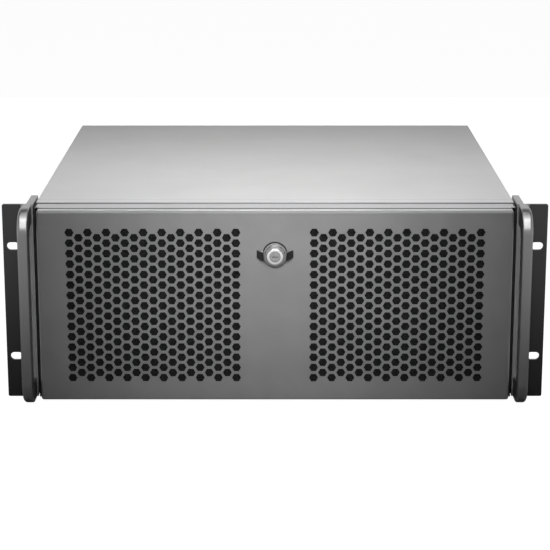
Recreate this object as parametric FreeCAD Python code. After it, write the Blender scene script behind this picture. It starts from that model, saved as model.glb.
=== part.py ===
import FreeCAD, Part
import math
import os
from FreeCAD import Vector

# Four unit rack server with a perforated drop-down front door. Millimetres, +Z up.
# X runs to the right and Y to the rear. The origin lies on the underside of the case,
# in the middle of its width, under the rear face of the rack ears.

# Case
CASE_WIDTH = 426.0          # over the two walls of the tray
CASE_HEIGHT = 176.0         # underside to the top of the cover
CASE_BACK = 421.5           # rack plane to the rear face
SHEET = 1.2                 # folded steel of tray, frame, rear panel and door
SEAM = 0.3                  # play between folded pieces that lap

# Rack ears with bow handles
EAR_WIDTH = 28.3            # ear beyond the case wall; both ears reach the 482.6 rack width
EAR_THICK = 3.0
EAR_BASE = 0.5              # underside of the ear above the underside of the case
EAR_RISE = 2.0              # top of the ear above the cover
EAR_CORNER = 3.0
SLOT_EDGE = 8.75            # slot centre to the outer edge of the ear; slots stand 465.1 apart
SLOT_SPACING = 101.6        # upper slot to lower slot
SLOT_HEIGHT = 7.0
SLOT_LENGTH = 11.0
PLATE_THICK = 7.4           # side plate of the ear along the case wall
PLATE_LENGTH = 37.0
HANDLE_WIDTH = 9.2
HANDLE_INSET = 2.0          # bow beside the case wall
HANDLE_REACH = 35.0         # bow in front of the ear
HANDLE_BAR = 15.0           # depth of the grip
HANDLE_LEG = 18.0           # height of each leg
HANDLE_CORNER = 20.0
HANDLE_CHAMFER = 1.2
WINDOW_CORNER = 9.0
BOW_STEPS = 5               # flats in each rounded corner of the bow

# Tray and cover
TRAY_LIP = 11.0
COVER_SHEET = 1.0
COVER_PLAY = 0.3            # cover above the lips
COVER_FLAP = 18.0           # rear edge folded down over the rear panel
RAIL_WALL = 1.0             # hooks of the cover under the lips
RAIL_FOOT = 5.0
RAIL_PLAY = 0.6
RAIL_INSET = 25.0           # hooks start and end this far inside the cover
TONGUE_REACH = 9.0          # front tongue of the cover under the top strip
TONGUE_LAP = 15.0
TONGUE_PLAY = 0.4

# Front frame
FRAME_FRONT = -13.5
FRAME_INSET = 2.8           # frame inside the walls of the tray, beside the door
STRIP_BACK = 13.0           # rear edge of the fixed top strip
STRIP_DROP = 1.0            # top strip below the top of the cover
STEP_HEIGHT = 14.0          # recess along the lower edge, where the door swings in
STEP_DEPTH = 7.0

# Front door
DOOR_GAP = 0.4              # door to frame
DOOR_DEPTH = 6.3
DOOR_BOTTOM = 2.4
DOOR_DROP = 0.7             # top of the door below the cover
DOOR_WIDTH = 416.0          # at the front face
DOOR_SPLAY = 2.5            # each side flange spreads this much to the back
DOOR_BEND = 2.0             # outer radius of the folds round the front face
HEX_PITCH = 19.0            # centre to centre
HEX_FLATS = 14.4            # across the flats of one hole
FIELD_INNER = 68.8          # between the innermost columns of the two fields
FIELD_SIDE = 24.0           # outermost column at least this far inside the door's side
FIELD_TOP = 19.0            # outermost rows at least this far inside its top and bottom
FIELD_RAISE = 1.4
FIELD_RIM = 14.0            # perforated sheet round the outermost hole centres
FILTER_THICK = 3.0
FILTER_MARGIN = 7.0

# Door hinge
HINGE_SET = 5.5             # axis behind the front face
HINGE_HEIGHT = 6.5          # axis above the underside of the case
PIN_RADIUS = 1.25
RUNNING_FIT = 0.05
KNUCKLE_RADIUS = 2.6
KNUCKLE_THICK = 2.0
KNUCKLE_GAP = 0.5
BRACKET_TOP = 28.0
HINGE_INSET = 10.0          # hinge inside the door's side
PIN_OVERHANG = 0.5

# Lock
LOCK_DROP = 37.6            # axis below the top of the door
BUSH_RADIUS = 7.6
BUSH_FLANGE = 10.5
BUSH_FLANGE_THICK = 1.5
NUT_FLATS = 20.0
NUT_THICK = 3.4
BUSH_END = 0.6              # bush beyond its nut
SPINDLE_RADIUS = 5.3
TURN_GAP = 0.3              # between turning faces
KNOB_RADIUS = 11.0
KNOB_DISC = 1.6
WING_SPAN = 32.0
WING_HEIGHT = 7.4
WING_TIP = 1.2
WING_ROOT = 12.0
COLLAR_STEPS = (10.4, 8.7, 7.0)
COLLAR_STEP_DEPTH = 4.0
COLLAR_MOUTH = 5.6
COLLAR_MOUTH_DEPTH = 1.2
PLUG_RADIUS = 4.6
PLUG_LENGTH = 6.0
KEYWAY_WIDTH = 5.0
KEYWAY_HEIGHT = 1.1
KEYWAY_DEPTH = 3.0
CAM_LENGTH = 30.0
CAM_WIDTH = 12.0
CAM_THICK = 2.0
CAM_GAP = 0.5               # cam behind the wall of the frame
CAM_PLAY = 1.5              # round the cam as it passes the frame
CAM_HEAD = 6.6
CAM_HEAD_THICK = 1.4

# Fans
FRONT_FAN = 120.0
REAR_FAN = 80.0
COOLER_FAN = 92.0
FAN_DEPTH = 25.0
SUPPLY_FAN_DEPTH = 15.0
FAN_WALL = 2.5              # rim beside the bore
FAN_CORNER = 5.0
FAN_HUB = 0.18              # hub radius as a share of the frame size
FAN_MOUNT = 3.5             # motor plate and its arms
FAN_SHAFT = 1.6
FAN_TIP_GAP = 1.5
FAN_BLADES = 5
FAN_BLADE_THICK = 1.4
FAN_BLADE_PITCH = 38.0
FAN_ROOT = 0.5              # half width of a blade at the hub as a share of its radius
FAN_MARGIN = 1.5            # rotor behind the face of its frame
REAR_FAN_GAP = 4.0          # between the rear fans and beside the power supply
REAR_FAN_RISE = 20.0        # rear fans above the port field
GRILLE_SLOTS = 5
GRILLE_SLOT = 8.0

# Control panel behind the door
BUTTON_ROW = 32.0           # buttons below the lock
LIGHT_ROW = 46.0
SOCKET_ROW = 64.0
CONTROL_SPREAD = 11.0       # half the distance between neighbours
POWER_RADIUS = 6.0
RESET_RADIUS = 3.0
BUTTON_PLAY = 0.3
BUTTON_RIM = 1.5
BUTTON_RIM_THICK = 1.2
BUTTON_LENGTH = 7.2
BUTTON_TRAVEL = 2.0
LIGHT_RADIUS = 1.5
SOCKET_WIDTH = 14.5
SOCKET_HEIGHT = 7.0
SOCKET_WALL = 0.8
SOCKET_DEPTH = 3.0
SOCKET_TONGUE = 2.0
CONTROL_BOARD = 1.6
CONTROL_MARGIN = 6.0
SWITCH_DEPTH = 4.0

# Mainboard
BOARD_WIDTH = 305.0
BOARD_DEPTH = 244.0
BOARD_THICK = 1.6
BOARD_WALL_GAP = 9.0
BOARD_REAR_GAP = 2.0
STANDOFF_HEIGHT = 6.5
STANDOFF_FLATS = 6.0
STANDOFF_INSET = 14.0
CHIP_SIZE = 45.0
CHIP_HEIGHT = 5.0
CHIP_SIDE = 72.0            # processor centre to the right edge of the board
CHIP_REAR = 92.0
SINK_BASE = 6.0
SINK_HEIGHT = 45.0
SINK_FINS = 10
SINK_FIN = 2.0
MEMORY_COUNT = 4
MEMORY_LENGTH = 133.0
MEMORY_THICK = 3.6
MEMORY_HEIGHT = 30.0
MEMORY_PITCH = 10.0
MEMORY_SOCKET_WIDTH = 7.0
MEMORY_SOCKET_HEIGHT = 8.0
MEMORY_SOCKET_END = 4.0
MEMORY_FRONT = 28.0         # first module behind the board's front edge
BRIDGE_SIZE = 40.0
BRIDGE_HEIGHT = 14.0
BRIDGE_FINS = 5
BRIDGE_GAP = 8.0

# Rear panel
REAR_FLANGE = 12.0
REAR_DROP = 4.5             # top of the panel below the top of the cover
PORT_WIDTH = 158.75         # aperture of the port field
PORT_HEIGHT = 44.45
PORT_SIDE = 4.0
PORT_DROP = 2.3
SHIELD_SHEET = 0.8
PORT_PLAY = 0.3
PORT_DEPTH = 18.0
PORT_RECESS = 2.5
PORT_RIM = 1.2
CARD_SLOTS = 7
CARD_PITCH = 20.32
CARD_OPENING = 14.0
CARD_OPENING_BASE = 14.0
CARD_OPENING_HEIGHT = 100.0
CARD_GAP = 14.0             # first card centre beside the port field
CARD_COVER = 18.4
CARD_COVER_SHEET = 0.9
CARD_COVER_LAP = 4.0
CARD_TAB = 11.0
CARD_SOCKET_LENGTH = 89.0
CARD_SOCKET_WIDTH = 7.5
CARD_SOCKET_HEIGHT = 11.0
CARD_SOCKET_REAR = 6.0
RETAINER_HEIGHT = 3.0
CLAMP_WIDTH = 22.0
CLAMP_HEIGHT = 12.0
CLAMP_DROP = 24.0           # top of the clamp below the top of the cover
CLAMP_FRONT = 240.0

# Power supply
SUPPLY_WIDTH = 86.0
SUPPLY_HEIGHT = 150.0
SUPPLY_DEPTH = 140.0
SUPPLY_SHEET = 1.0
SUPPLY_WALL_GAP = 3.0
SUPPLY_RIM = 4.0            # rear panel over the edge of the supply
SUPPLY_FAN_GAP = 3.0        # fan inside the sides of the case
SUPPLY_FAN_DROP = 50.0
INLET_WIDTH = 27.4
INLET_HEIGHT = 20.0
INLET_DEPTH = 20.0
INLET_WALL = 1.6
INLET_FLANGE = 2.4
INLET_FLANGE_THICK = 1.5
INLET_CORNER = 4.5
INLET_PLAY = 0.2
INLET_RISE = 26.0
INLET_SHIFT = 16.0
ROCKER_SHIFT = 22.0
ROCKER_WIDTH = 10.4
ROCKER_HEIGHT = 15.0
ROCKER_PLAY = 0.3
ROCKER_ROOM = 1.0           # above and below the rocker
ROCKER_WALL = 2.0
ROCKER_CREST = 4.2
ROCKER_DIP = 3.2
ROCKER_ROOT = 1.5
ROCKER_TILT = 7.0
ROCKER_PIN = 1.2
ROCKER_SET = 2.5
ROCKER_BODY = 9.0

# Drives
DRIVE_COUNT = 4
DRIVE_WIDTH = 101.6
DRIVE_LENGTH = 147.0
DRIVE_HEIGHT = 26.1
DRIVE_LID = 1.5
DRIVE_LID_INSET = 3.0
DRIVE_PITCH = 28.5
DRIVE_PLAY = 0.3
CAGE_SHEET = 1.0
CAGE_WALL_GAP = 8.0
CAGE_FAN_GAP = 3.0
CAGE_WINDOW = 0.6           # share of the side that the window takes

# Thumb screws of the cover
THUMB_SPREAD = 160.0
THUMB_DROP = 11.0
THUMB_RADIUS = 6.0
THUMB_LENGTH = 10.0
THUMB_SHANK = 1.9
THUMB_SHANK_LENGTH = 8.0
THUMB_FLUTES = 12
THUMB_PLAY = 0.3            # round the shank in its hole

# Sides of small round pieces and holes, of the lock's visible pieces and of fan bores
SMALL_SIDES = 10
LOCK_SIDES = 16
BORE_SIDES = 20

# Derived places
HALF = CASE_WIDTH / 2
INNER_HALF = HALF - SHEET
LAP_HALF = INNER_HALF - SEAM
REAR_INNER = CASE_BACK - SHEET
COVER_UNDER = CASE_HEIGHT - COVER_SHEET
LIP_TOP = COVER_UNDER - COVER_PLAY
LIP_UNDER = LIP_TOP - SHEET
REAR_TOP = CASE_HEIGHT - REAR_DROP
FRAME_BACK = FRAME_FRONT + SHEET
FRAME_HALF = LAP_HALF - FRAME_INSET
STRIP_TOP = CASE_HEIGHT - STRIP_DROP
STEP_BACK = FRAME_FRONT + STEP_DEPTH
EAR_FRONT = -EAR_THICK
EAR_TOP = CASE_HEIGHT + EAR_RISE
EAR_MIDDLE = (EAR_BASE + EAR_TOP) / 2
DOOR_BACK = FRAME_FRONT - DOOR_GAP
DOOR_FRONT = DOOR_BACK - DOOR_DEPTH
DOOR_INNER = DOOR_FRONT + SHEET
DOOR_TOP = CASE_HEIGHT - DOOR_DROP
DOOR_MIDDLE = (DOOR_BOTTOM + DOOR_TOP) / 2
FIELD_MIDDLE = DOOR_MIDDLE + FIELD_RAISE
LOCK_HEIGHT = DOOR_TOP - LOCK_DROP
FRONT_FAN_BACK = FRAME_BACK + FAN_DEPTH
SUPPLY_BASE = 2 * SHEET
SUPPLY_RIGHT = INNER_HALF - SUPPLY_WALL_GAP
SUPPLY_LEFT = SUPPLY_RIGHT - SUPPLY_WIDTH
SUPPLY_FAN = SUPPLY_WIDTH - 2 * SUPPLY_FAN_GAP
SUPPLY_MIDDLE = (SUPPLY_LEFT + SUPPLY_RIGHT) / 2
BOARD_LEFT = -INNER_HALF + BOARD_WALL_GAP
BOARD_RIGHT = BOARD_LEFT + BOARD_WIDTH
BOARD_BACK = REAR_INNER - BOARD_REAR_GAP
BOARD_FRONT = BOARD_BACK - BOARD_DEPTH
BOARD_UNDER = SHEET + STANDOFF_HEIGHT
BOARD_TOP = BOARD_UNDER + BOARD_THICK
PORT_RIGHT = BOARD_RIGHT - PORT_SIDE
PORT_LEFT = PORT_RIGHT - PORT_WIDTH
PORT_BASE = BOARD_TOP - PORT_DROP
X_AXIS = Vector(1, 0, 0)
Y_AXIS = Vector(0, 1, 0)
Z_AXIS = Vector(0, 0, 1)


# Shapes used by several pieces

def block(x0, x1, y0, y1, z0, z1):
    return Part.makeBox(x1 - x0, y1 - y0, z1 - z0, Vector(x0, y0, z0))


def prism(points, along):
    outline = Part.makePolygon(points + points[:1])
    return Part.Face(outline).extrude(along)


def folded_outline(line, thickness):
    """Closed outline of a folded sheet: the given line and its mitred offset to the left."""
    normals = []
    for (x0, z0), (x1, z1) in zip(line, line[1:]):
        length = math.hypot(x1 - x0, z1 - z0)
        normals.append(((z0 - z1) / length, (x1 - x0) / length))
    inner = []
    for index, (x, z) in enumerate(line):
        before = normals[max(index - 1, 0)]
        after = normals[min(index, len(normals) - 1)]
        scale = thickness / (1 + before[0] * after[0] + before[1] * after[1])
        inner.append((x + (before[0] + after[0]) * scale, z + (before[1] + after[1]) * scale))
    return line + inner[::-1]


def across(outline, x0, x1):
    """Extrude a (y, z) outline along X."""
    return prism([Vector(x0, y, z) for y, z in outline], Vector(x1 - x0, 0, 0))


def lengthwise(outline, y0, y1):
    """Extrude an (x, z) outline along Y."""
    return prism([Vector(x, y0, z) for x, z in outline], Vector(0, y1 - y0, 0))


def upright(outline, z0, z1):
    """Extrude an (x, y) outline along Z."""
    return prism([Vector(x, y, z0) for x, y in outline], Vector(0, 0, z1 - z0))


def faceted(radius, sides, low, high):
    """Many-sided rod about Z, its corners on the radius."""
    corners = []
    for index in range(sides):
        angle = 2 * math.pi * (index + 0.5) / sides
        corners.append((radius * math.cos(angle), radius * math.sin(angle)))
    return upright(corners, low, high)


def flats_reach(radius, sides):
    """Radius of the corners of a many-sided hole whose flats touch the radius."""
    return radius / math.cos(math.pi / sides)


def rod_y(radius, y0, y1, x=0.0, z=0.0, sides=SMALL_SIDES):
    rod = faceted(radius, sides, y0, y1)
    rod.rotate(Vector(0, 0, 0), X_AXIS, -90)
    return rod.translated(Vector(x, 0, z))


def hole_y(radius, y0, y1, x=0.0, z=0.0, sides=SMALL_SIDES):
    return rod_y(flats_reach(radius, sides), y0, y1, x, z, sides)


def rod_x(radius, x0, x1, y, z, sides=SMALL_SIDES):
    rod = faceted(radius, sides, x0, x1)
    rod.rotate(Vector(0, 0, 0), Y_AXIS, 90)
    return rod.translated(Vector(0, y, z))


def hole_x(radius, x0, x1, y, z, sides=SMALL_SIDES):
    return rod_x(flats_reach(radius, sides), x0, x1, y, z, sides)


def pin_x(radius, x0, x1, y, z):
    return Part.makeCylinder(radius, x1 - x0, Vector(x0, y, z), X_AXIS)


def pin_y(radius, y0, y1, x, z):
    return Part.makeCylinder(radius, y1 - y0, Vector(x, y0, z), Y_AXIS)


def stepped_y(steps, x, z, sides=SMALL_SIDES):
    """Turned piece along Y from (radius, y0, y1) steps."""
    return join(*[rod_y(radius, y0, y1, x, z, sides) for radius, y0, y1 in steps])


def mirrored(shape):
    return shape.mirror(Vector(0, 0, 0), X_AXIS)


def join(first, *others):
    return first.fuse(list(others)).removeSplitter()


def group(solids):
    return Part.makeCompound(solids)


def comb(width, base, height, fins, fin):
    """Outline of a finned heat sink, centred on x = 0."""
    pitch = (width - fin) / (fins - 1)
    line = [(-width / 2, 0)]
    for index in range(fins):
        left = -width / 2 + index * pitch
        if index > 0:
            line.append((left, base))
        line.append((left, height))
        line.append((left + fin, height))
        if index < fins - 1:
            line.append((left + fin, base))
    line.append((width / 2, 0))
    return line


# Folded tray: floor, two walls and the lips that the cover slides on

def chassis_tray():
    line = [
        (-HALF + TRAY_LIP, LIP_TOP),
        (-HALF, LIP_TOP),
        (-HALF, 0),
        (HALF, 0),
        (HALF, LIP_TOP),
        (HALF - TRAY_LIP, LIP_TOP),
    ]
    tray = lengthwise(folded_outline(line, SHEET), EAR_FRONT, CASE_BACK)
    notch = block(-INNER_HALF, INNER_HALF, EAR_FRONT, STRIP_BACK + SEAM, LIP_UNDER, LIP_TOP)
    return tray.cut(notch)


# Front frame: top strip, wall, recess for the door's lower edge, bottom flange, cheeks and
# the flanges that turn out from the cheeks to the walls of the tray

def cam_passage():
    reach = CAM_LENGTH + CAM_PLAY
    tall = CAM_WIDTH / 2 + CAM_PLAY
    return block(
        -tall, reach, FRAME_FRONT, FRAME_BACK, LOCK_HEIGHT - tall, LOCK_HEIGHT + tall)


def field_columns():
    spacing = HEX_PITCH * math.sqrt(3) / 2
    room = DOOR_WIDTH / 2 - FIELD_SIDE - FIELD_INNER / 2
    count = int(room / spacing + 1e-6) + 1
    return [FIELD_INNER / 2 + spacing * index for index in range(count)]


def field_centre():
    columns = field_columns()
    return (columns[0] + columns[-1]) / 2


def fan_bore(size):
    return size / 2 - FAN_WALL


def front_fan_places():
    return -field_centre(), field_centre()


def button_place(side):
    return side * CONTROL_SPREAD, LOCK_HEIGHT - BUTTON_ROW


def light_place(side):
    return side * CONTROL_SPREAD, LOCK_HEIGHT - LIGHT_ROW


def socket_place(side):
    return side * CONTROL_SPREAD, LOCK_HEIGHT - SOCKET_ROW


def front_frame():
    line = [
        (STRIP_BACK, STRIP_TOP),
        (FRAME_FRONT, STRIP_TOP),
        (FRAME_FRONT, STEP_HEIGHT),
        (STEP_BACK, STEP_HEIGHT),
        (STEP_BACK, SHEET),
        (STRIP_BACK, SHEET),
    ]
    wall = across(folded_outline(line, SHEET), -FRAME_HALF, FRAME_HALF)
    left_side = join(
        across(line, -FRAME_HALF, -FRAME_HALF + SHEET),
        block(-LAP_HALF, -FRAME_HALF, STRIP_BACK - SHEET, STRIP_BACK, SHEET, STRIP_TOP),
        block(-LAP_HALF, -FRAME_HALF, 0, STRIP_BACK, STRIP_TOP - SHEET, STRIP_TOP))
    frame = join(wall, left_side, mirrored(left_side))
    cuts = [cam_passage()]
    for x in front_fan_places():
        cuts.append(rod_y(
            fan_bore(FRONT_FAN), FRAME_FRONT, FRAME_BACK, x, FIELD_MIDDLE, BORE_SIDES))
    for side, radius in ((-1, POWER_RADIUS), (1, RESET_RADIUS)):
        x, z = button_place(side)
        cuts.append(hole_y(radius + BUTTON_PLAY, FRAME_FRONT, FRAME_BACK, x, z))
        x, z = light_place(side)
        cuts.append(hole_y(LIGHT_RADIUS + RUNNING_FIT, FRAME_FRONT, FRAME_BACK, x, z))
        x, z = socket_place(side)
        wide = SOCKET_WIDTH / 2 + SEAM
        tall = SOCKET_HEIGHT / 2 + SEAM
        cuts.append(block(x - wide, x + wide, FRAME_FRONT, FRAME_BACK, z - tall, z + tall))
    return frame.cut(cuts)


# Rear panel with the openings for ports, cards, fans and power supply

def card_places():
    first = PORT_LEFT - CARD_GAP
    return [first - CARD_PITCH * index for index in range(CARD_SLOTS)]


def rear_fan_places():
    right = SUPPLY_LEFT - REAR_FAN_GAP - REAR_FAN / 2
    left = right - REAR_FAN - REAR_FAN_GAP
    height = PORT_BASE + PORT_HEIGHT + REAR_FAN_RISE + REAR_FAN / 2
    return [(left, height), (right, height)]


def grille(x, z, size, y0, y1):
    """Level slots that fill the circle of a fan."""
    bore = fan_bore(size)
    pitch = 2 * bore / GRILLE_SLOTS
    slots = []
    for index in range(GRILLE_SLOTS):
        level = (index - (GRILLE_SLOTS - 1) / 2) * pitch
        wide = math.sqrt(bore ** 2 - level ** 2)
        low = z + level - GRILLE_SLOT / 2
        slots.append(block(x - wide, x + wide, y0, y1, low, low + GRILLE_SLOT))
    return slots


def thumb_places():
    return [(side * THUMB_SPREAD, CASE_HEIGHT - THUMB_DROP) for side in (-1, 1)]


def rear_panel():
    back = REAR_INNER
    pan = block(-LAP_HALF, LAP_HALF, CASE_BACK - REAR_FLANGE, CASE_BACK, SHEET, REAR_TOP)
    hollow = block(
        -LAP_HALF + SHEET, LAP_HALF - SHEET, CASE_BACK - REAR_FLANGE, back,
        2 * SHEET, REAR_TOP - SHEET)
    cuts = [hollow]
    cuts.append(block(
        PORT_LEFT, PORT_RIGHT, back, CASE_BACK, PORT_BASE, PORT_BASE + PORT_HEIGHT))
    for x in card_places():
        cuts.append(block(
            x - CARD_OPENING / 2, x + CARD_OPENING / 2, back, CASE_BACK,
            CARD_OPENING_BASE, CARD_OPENING_BASE + CARD_OPENING_HEIGHT))
    cuts.append(block(
        SUPPLY_LEFT + SUPPLY_RIM, SUPPLY_RIGHT - SUPPLY_RIM, back, CASE_BACK,
        SUPPLY_BASE + SUPPLY_RIM, SUPPLY_BASE + SUPPLY_HEIGHT - SUPPLY_RIM))
    for x, z in rear_fan_places():
        cuts += grille(x, z, REAR_FAN, back, CASE_BACK)
    for x, z in thumb_places():
        cuts.append(hole_y(THUMB_SHANK + THUMB_PLAY, back, CASE_BACK, x, z))
    return pan.cut(cuts)


# Top cover: flat sheet, rear flap, hooks under the lips and front tongue under the strip

def top_cover():
    front = STRIP_BACK + TONGUE_PLAY
    back = CASE_BACK + SEAM + COVER_SHEET
    line = [(back, CASE_HEIGHT - COVER_FLAP), (back, CASE_HEIGHT), (front, CASE_HEIGHT)]
    sheet = across(folded_outline(line, COVER_SHEET), -HALF, HALF)
    inner = HALF - TRAY_LIP - RAIL_PLAY
    hook_top = LIP_UNDER - RAIL_PLAY
    hook = [
        (-inner + RAIL_WALL, COVER_UNDER),
        (-inner, COVER_UNDER),
        (-inner, hook_top),
        (-inner - RAIL_FOOT, hook_top),
        (-inner - RAIL_FOOT, hook_top - RAIL_WALL),
        (-inner + RAIL_WALL, hook_top - RAIL_WALL),
    ]
    left_hook = lengthwise(hook, front + RAIL_INSET, CASE_BACK - RAIL_INSET)
    tongue_top = STRIP_TOP - SHEET - TONGUE_PLAY
    tongue_half = inner - RAIL_FOOT
    tongue = block(
        -tongue_half, tongue_half, STRIP_BACK - TONGUE_REACH, front + TONGUE_LAP,
        tongue_top - COVER_SHEET, tongue_top)
    riser = block(-tongue_half, tongue_half, front, front + TONGUE_LAP, tongue_top, COVER_UNDER)
    cover = join(sheet, left_hook, mirrored(left_hook), tongue, riser)
    holes = []
    for x, z in thumb_places():
        holes.append(hole_y(THUMB_SHANK + THUMB_PLAY, CASE_BACK + SEAM, back, x, z))
    return cover.cut(holes)


# Captive thumb screw: fluted head and shank

def thumb_screw(x, z):
    seat = CASE_BACK + SEAM + COVER_SHEET
    shank = pin_y(THUMB_SHANK, CASE_BACK - THUMB_SHANK_LENGTH, seat, x, z)
    head = rod_y(THUMB_RADIUS, seat, seat + THUMB_LENGTH, x, z, THUMB_FLUTES)
    return join(shank, head)


# Rack ear and bow handle, one casting on each side

def bow_outline(front, low, high, radius):
    """Outline in Y and Z from the ear to the front, with its two front corners rounded."""
    line = [(EAR_FRONT, low)]
    for centre, start in ((low + radius, 270), (high - radius, 180)):
        for step in range(BOW_STEPS + 1):
            angle = math.radians(start - 90 * step / BOW_STEPS)
            line.append((front + radius + radius * math.cos(angle), centre + radius * math.sin(angle)))
    line.append((EAR_FRONT, high))
    return line


def ear_slot(z):
    x = HALF + EAR_WIDTH - SLOT_EDGE
    radius = SLOT_HEIGHT / 2
    straight = (SLOT_LENGTH - SLOT_HEIGHT) / 2
    middle = block(x - straight, x + straight, EAR_FRONT, 0, z - radius, z + radius)
    ends = []
    for side in (-1, 1):
        centre = Vector(x + side * straight, EAR_FRONT, z)
        ends.append(Part.makeCylinder(radius, EAR_THICK, centre, Y_AXIS))
    return join(middle, *ends)


def right_ear():
    bow_front = EAR_FRONT - HANDLE_REACH
    bow = across(bow_outline(bow_front, EAR_BASE, EAR_TOP, HANDLE_CORNER), 0, HANDLE_WIDTH)
    rim = [
        edge for edge in bow.Edges
        if edge.BoundBox.XLength < 1e-6 and edge.BoundBox.YMax < EAR_FRONT + 1e-6
        and edge.CenterOfMass.y < EAR_FRONT - 1e-6]
    bow = bow.makeChamfer(HANDLE_CHAMFER, rim)
    window = bow_outline(
        bow_front + HANDLE_BAR, EAR_BASE + HANDLE_LEG, EAR_TOP - HANDLE_LEG, WINDOW_CORNER)
    bow = bow.cut(across(window, 0, HANDLE_WIDTH))
    bow.translate(Vector(HALF + HANDLE_INSET, 0, 0))
    flange = block(HALF, HALF + EAR_WIDTH, EAR_FRONT, 0, EAR_BASE, EAR_TOP)
    corners = [
        edge for edge in flange.Edges
        if edge.BoundBox.XLength < 1e-6 and edge.BoundBox.ZLength < 1e-6
        and edge.BoundBox.XMin > HALF + 1e-6]
    flange = flange.makeFillet(EAR_CORNER, corners)
    plate = block(HALF, HALF + PLATE_THICK, 0, PLATE_LENGTH, EAR_BASE, EAR_TOP)
    cuts = [ear_slot(EAR_MIDDLE + side * SLOT_SPACING / 2) for side in (-1, 1)]
    return join(bow, flange, plate).cut(cuts)


# Front door: folded tray with splayed sides and two fields of hexagon holes

def door_plan(inset, depth_front):
    """Plan of the door: narrower at the front, splayed to the back."""
    slope = DOOR_SPLAY / DOOR_DEPTH
    front_half = DOOR_WIDTH / 2 - inset + slope * (depth_front - DOOR_FRONT)
    back_half = DOOR_WIDTH / 2 - inset + DOOR_SPLAY
    return [
        (-front_half, depth_front), (front_half, depth_front),
        (back_half, DOOR_BACK), (-back_half, DOOR_BACK)]


def field_rows(shift):
    room = DOOR_TOP - DOOR_BOTTOM - 2 * FIELD_TOP
    count = int(room / HEX_PITCH + 1e-6) + 1 - shift
    return [FIELD_MIDDLE + (index - (count - 1) / 2) * HEX_PITCH for index in range(count)]


def hexagon(x, z, flats):
    reach = flats / math.sqrt(3)
    corners = []
    for index in range(7):
        angle = math.pi * index / 3
        corners.append(Vector(x + reach * math.cos(angle), DOOR_FRONT, z + reach * math.sin(angle)))
    return Part.makePolygon(corners)


def field_bounds(margin):
    columns = field_columns()
    rows = field_rows(0)
    return (
        columns[0] - margin, columns[-1] + margin, rows[0] - margin, rows[-1] + margin)


def perforated_field():
    x0, x1, z0, z1 = field_bounds(FIELD_RIM)
    border = Part.makePolygon([
        Vector(x0, DOOR_FRONT, z0), Vector(x1, DOOR_FRONT, z0),
        Vector(x1, DOOR_FRONT, z1), Vector(x0, DOOR_FRONT, z1), Vector(x0, DOOR_FRONT, z0)])
    wires = [border]
    for index, x in enumerate(field_columns()):
        for z in field_rows(index % 2):
            wires.append(hexagon(x, z, HEX_FLATS))
    field = Part.makeFace(wires, "Part::FaceMakerBullseye")
    return field.extrude(Vector(0, SHEET, 0))


def front_door():
    skin = upright(door_plan(0, DOOR_FRONT), DOOR_BOTTOM, DOOR_TOP)
    folds = [edge for edge in skin.Edges if edge.BoundBox.YMax < DOOR_FRONT + 1e-6]
    skin = skin.makeFillet(DOOR_BEND, folds)
    hollow = upright(door_plan(SHEET, DOOR_INNER), DOOR_BOTTOM + SHEET, DOOR_TOP - SHEET)
    x0, x1, z0, z1 = field_bounds(FIELD_RIM)
    window = block(x0, x1, DOOR_FRONT, DOOR_INNER, z0, z1)
    bush_hole = hole_y(BUSH_RADIUS + SEAM, DOOR_FRONT, DOOR_INNER, 0, LOCK_HEIGHT)
    shell = skin.cut([hollow, window, mirrored(window), bush_hole])
    field = perforated_field()
    return join(shell, field, mirrored(field))


def dust_filter():
    x0, x1, z0, z1 = field_bounds(FILTER_MARGIN)
    return block(x0, x1, DOOR_INNER, DOOR_INNER + FILTER_THICK, z0, z1)


# Door hinge: bracket on the frame, fixed pin, and lug on the door

HINGE_Y = DOOR_FRONT + HINGE_SET


def hinge_stations():
    lug = DOOR_WIDTH / 2 - HINGE_INSET
    bracket = lug - KNUCKLE_GAP - KNUCKLE_THICK
    return bracket, lug


def right_bracket():
    x = hinge_stations()[0]
    radius = KNUCKLE_RADIUS
    leg = block(
        x - KNUCKLE_THICK, x, HINGE_Y - radius, FRAME_FRONT, HINGE_HEIGHT, BRACKET_TOP)
    shoulder = block(
        x - KNUCKLE_THICK, x, FRAME_FRONT, HINGE_Y + radius, HINGE_HEIGHT, STEP_HEIGHT)
    eye = rod_x(radius, x - KNUCKLE_THICK, x, HINGE_Y, HINGE_HEIGHT)
    bore = hole_x(PIN_RADIUS + RUNNING_FIT, x - KNUCKLE_THICK, x, HINGE_Y, HINGE_HEIGHT)
    return join(leg, shoulder, eye).cut(bore)


def right_lug():
    x = hinge_stations()[1]
    radius = KNUCKLE_RADIUS
    base = DOOR_BOTTOM + SHEET
    arm = block(x - KNUCKLE_THICK, x, DOOR_INNER, HINGE_Y, base, HINGE_HEIGHT + radius)
    eye = rod_x(radius, x - KNUCKLE_THICK, x, HINGE_Y, HINGE_HEIGHT)
    bore = hole_x(PIN_RADIUS + RUNNING_FIT, x - KNUCKLE_THICK, x, HINGE_Y, HINGE_HEIGHT)
    return join(arm, eye).cut(bore)


def right_pin():
    bracket, lug = hinge_stations()
    return pin_x(
        PIN_RADIUS, bracket - KNUCKLE_THICK - PIN_OVERHANG, lug + PIN_OVERHANG,
        HINGE_Y, HINGE_HEIGHT)


# Lock: flanged bush and nut in the door; winged knob, collar, spindle and cam that turn

BUSH_FRONT = DOOR_FRONT - BUSH_FLANGE_THICK
KNOB_BACK = BUSH_FRONT - TURN_GAP
KNOB_FRONT = KNOB_BACK - KNOB_DISC
COLLAR_FRONT = KNOB_FRONT - COLLAR_STEP_DEPTH * len(COLLAR_STEPS)
PLUG_FRONT = COLLAR_FRONT + COLLAR_MOUTH_DEPTH
CAM_FRONT = FRAME_BACK + CAM_GAP
CAM_BACK = CAM_FRONT + CAM_THICK


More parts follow.
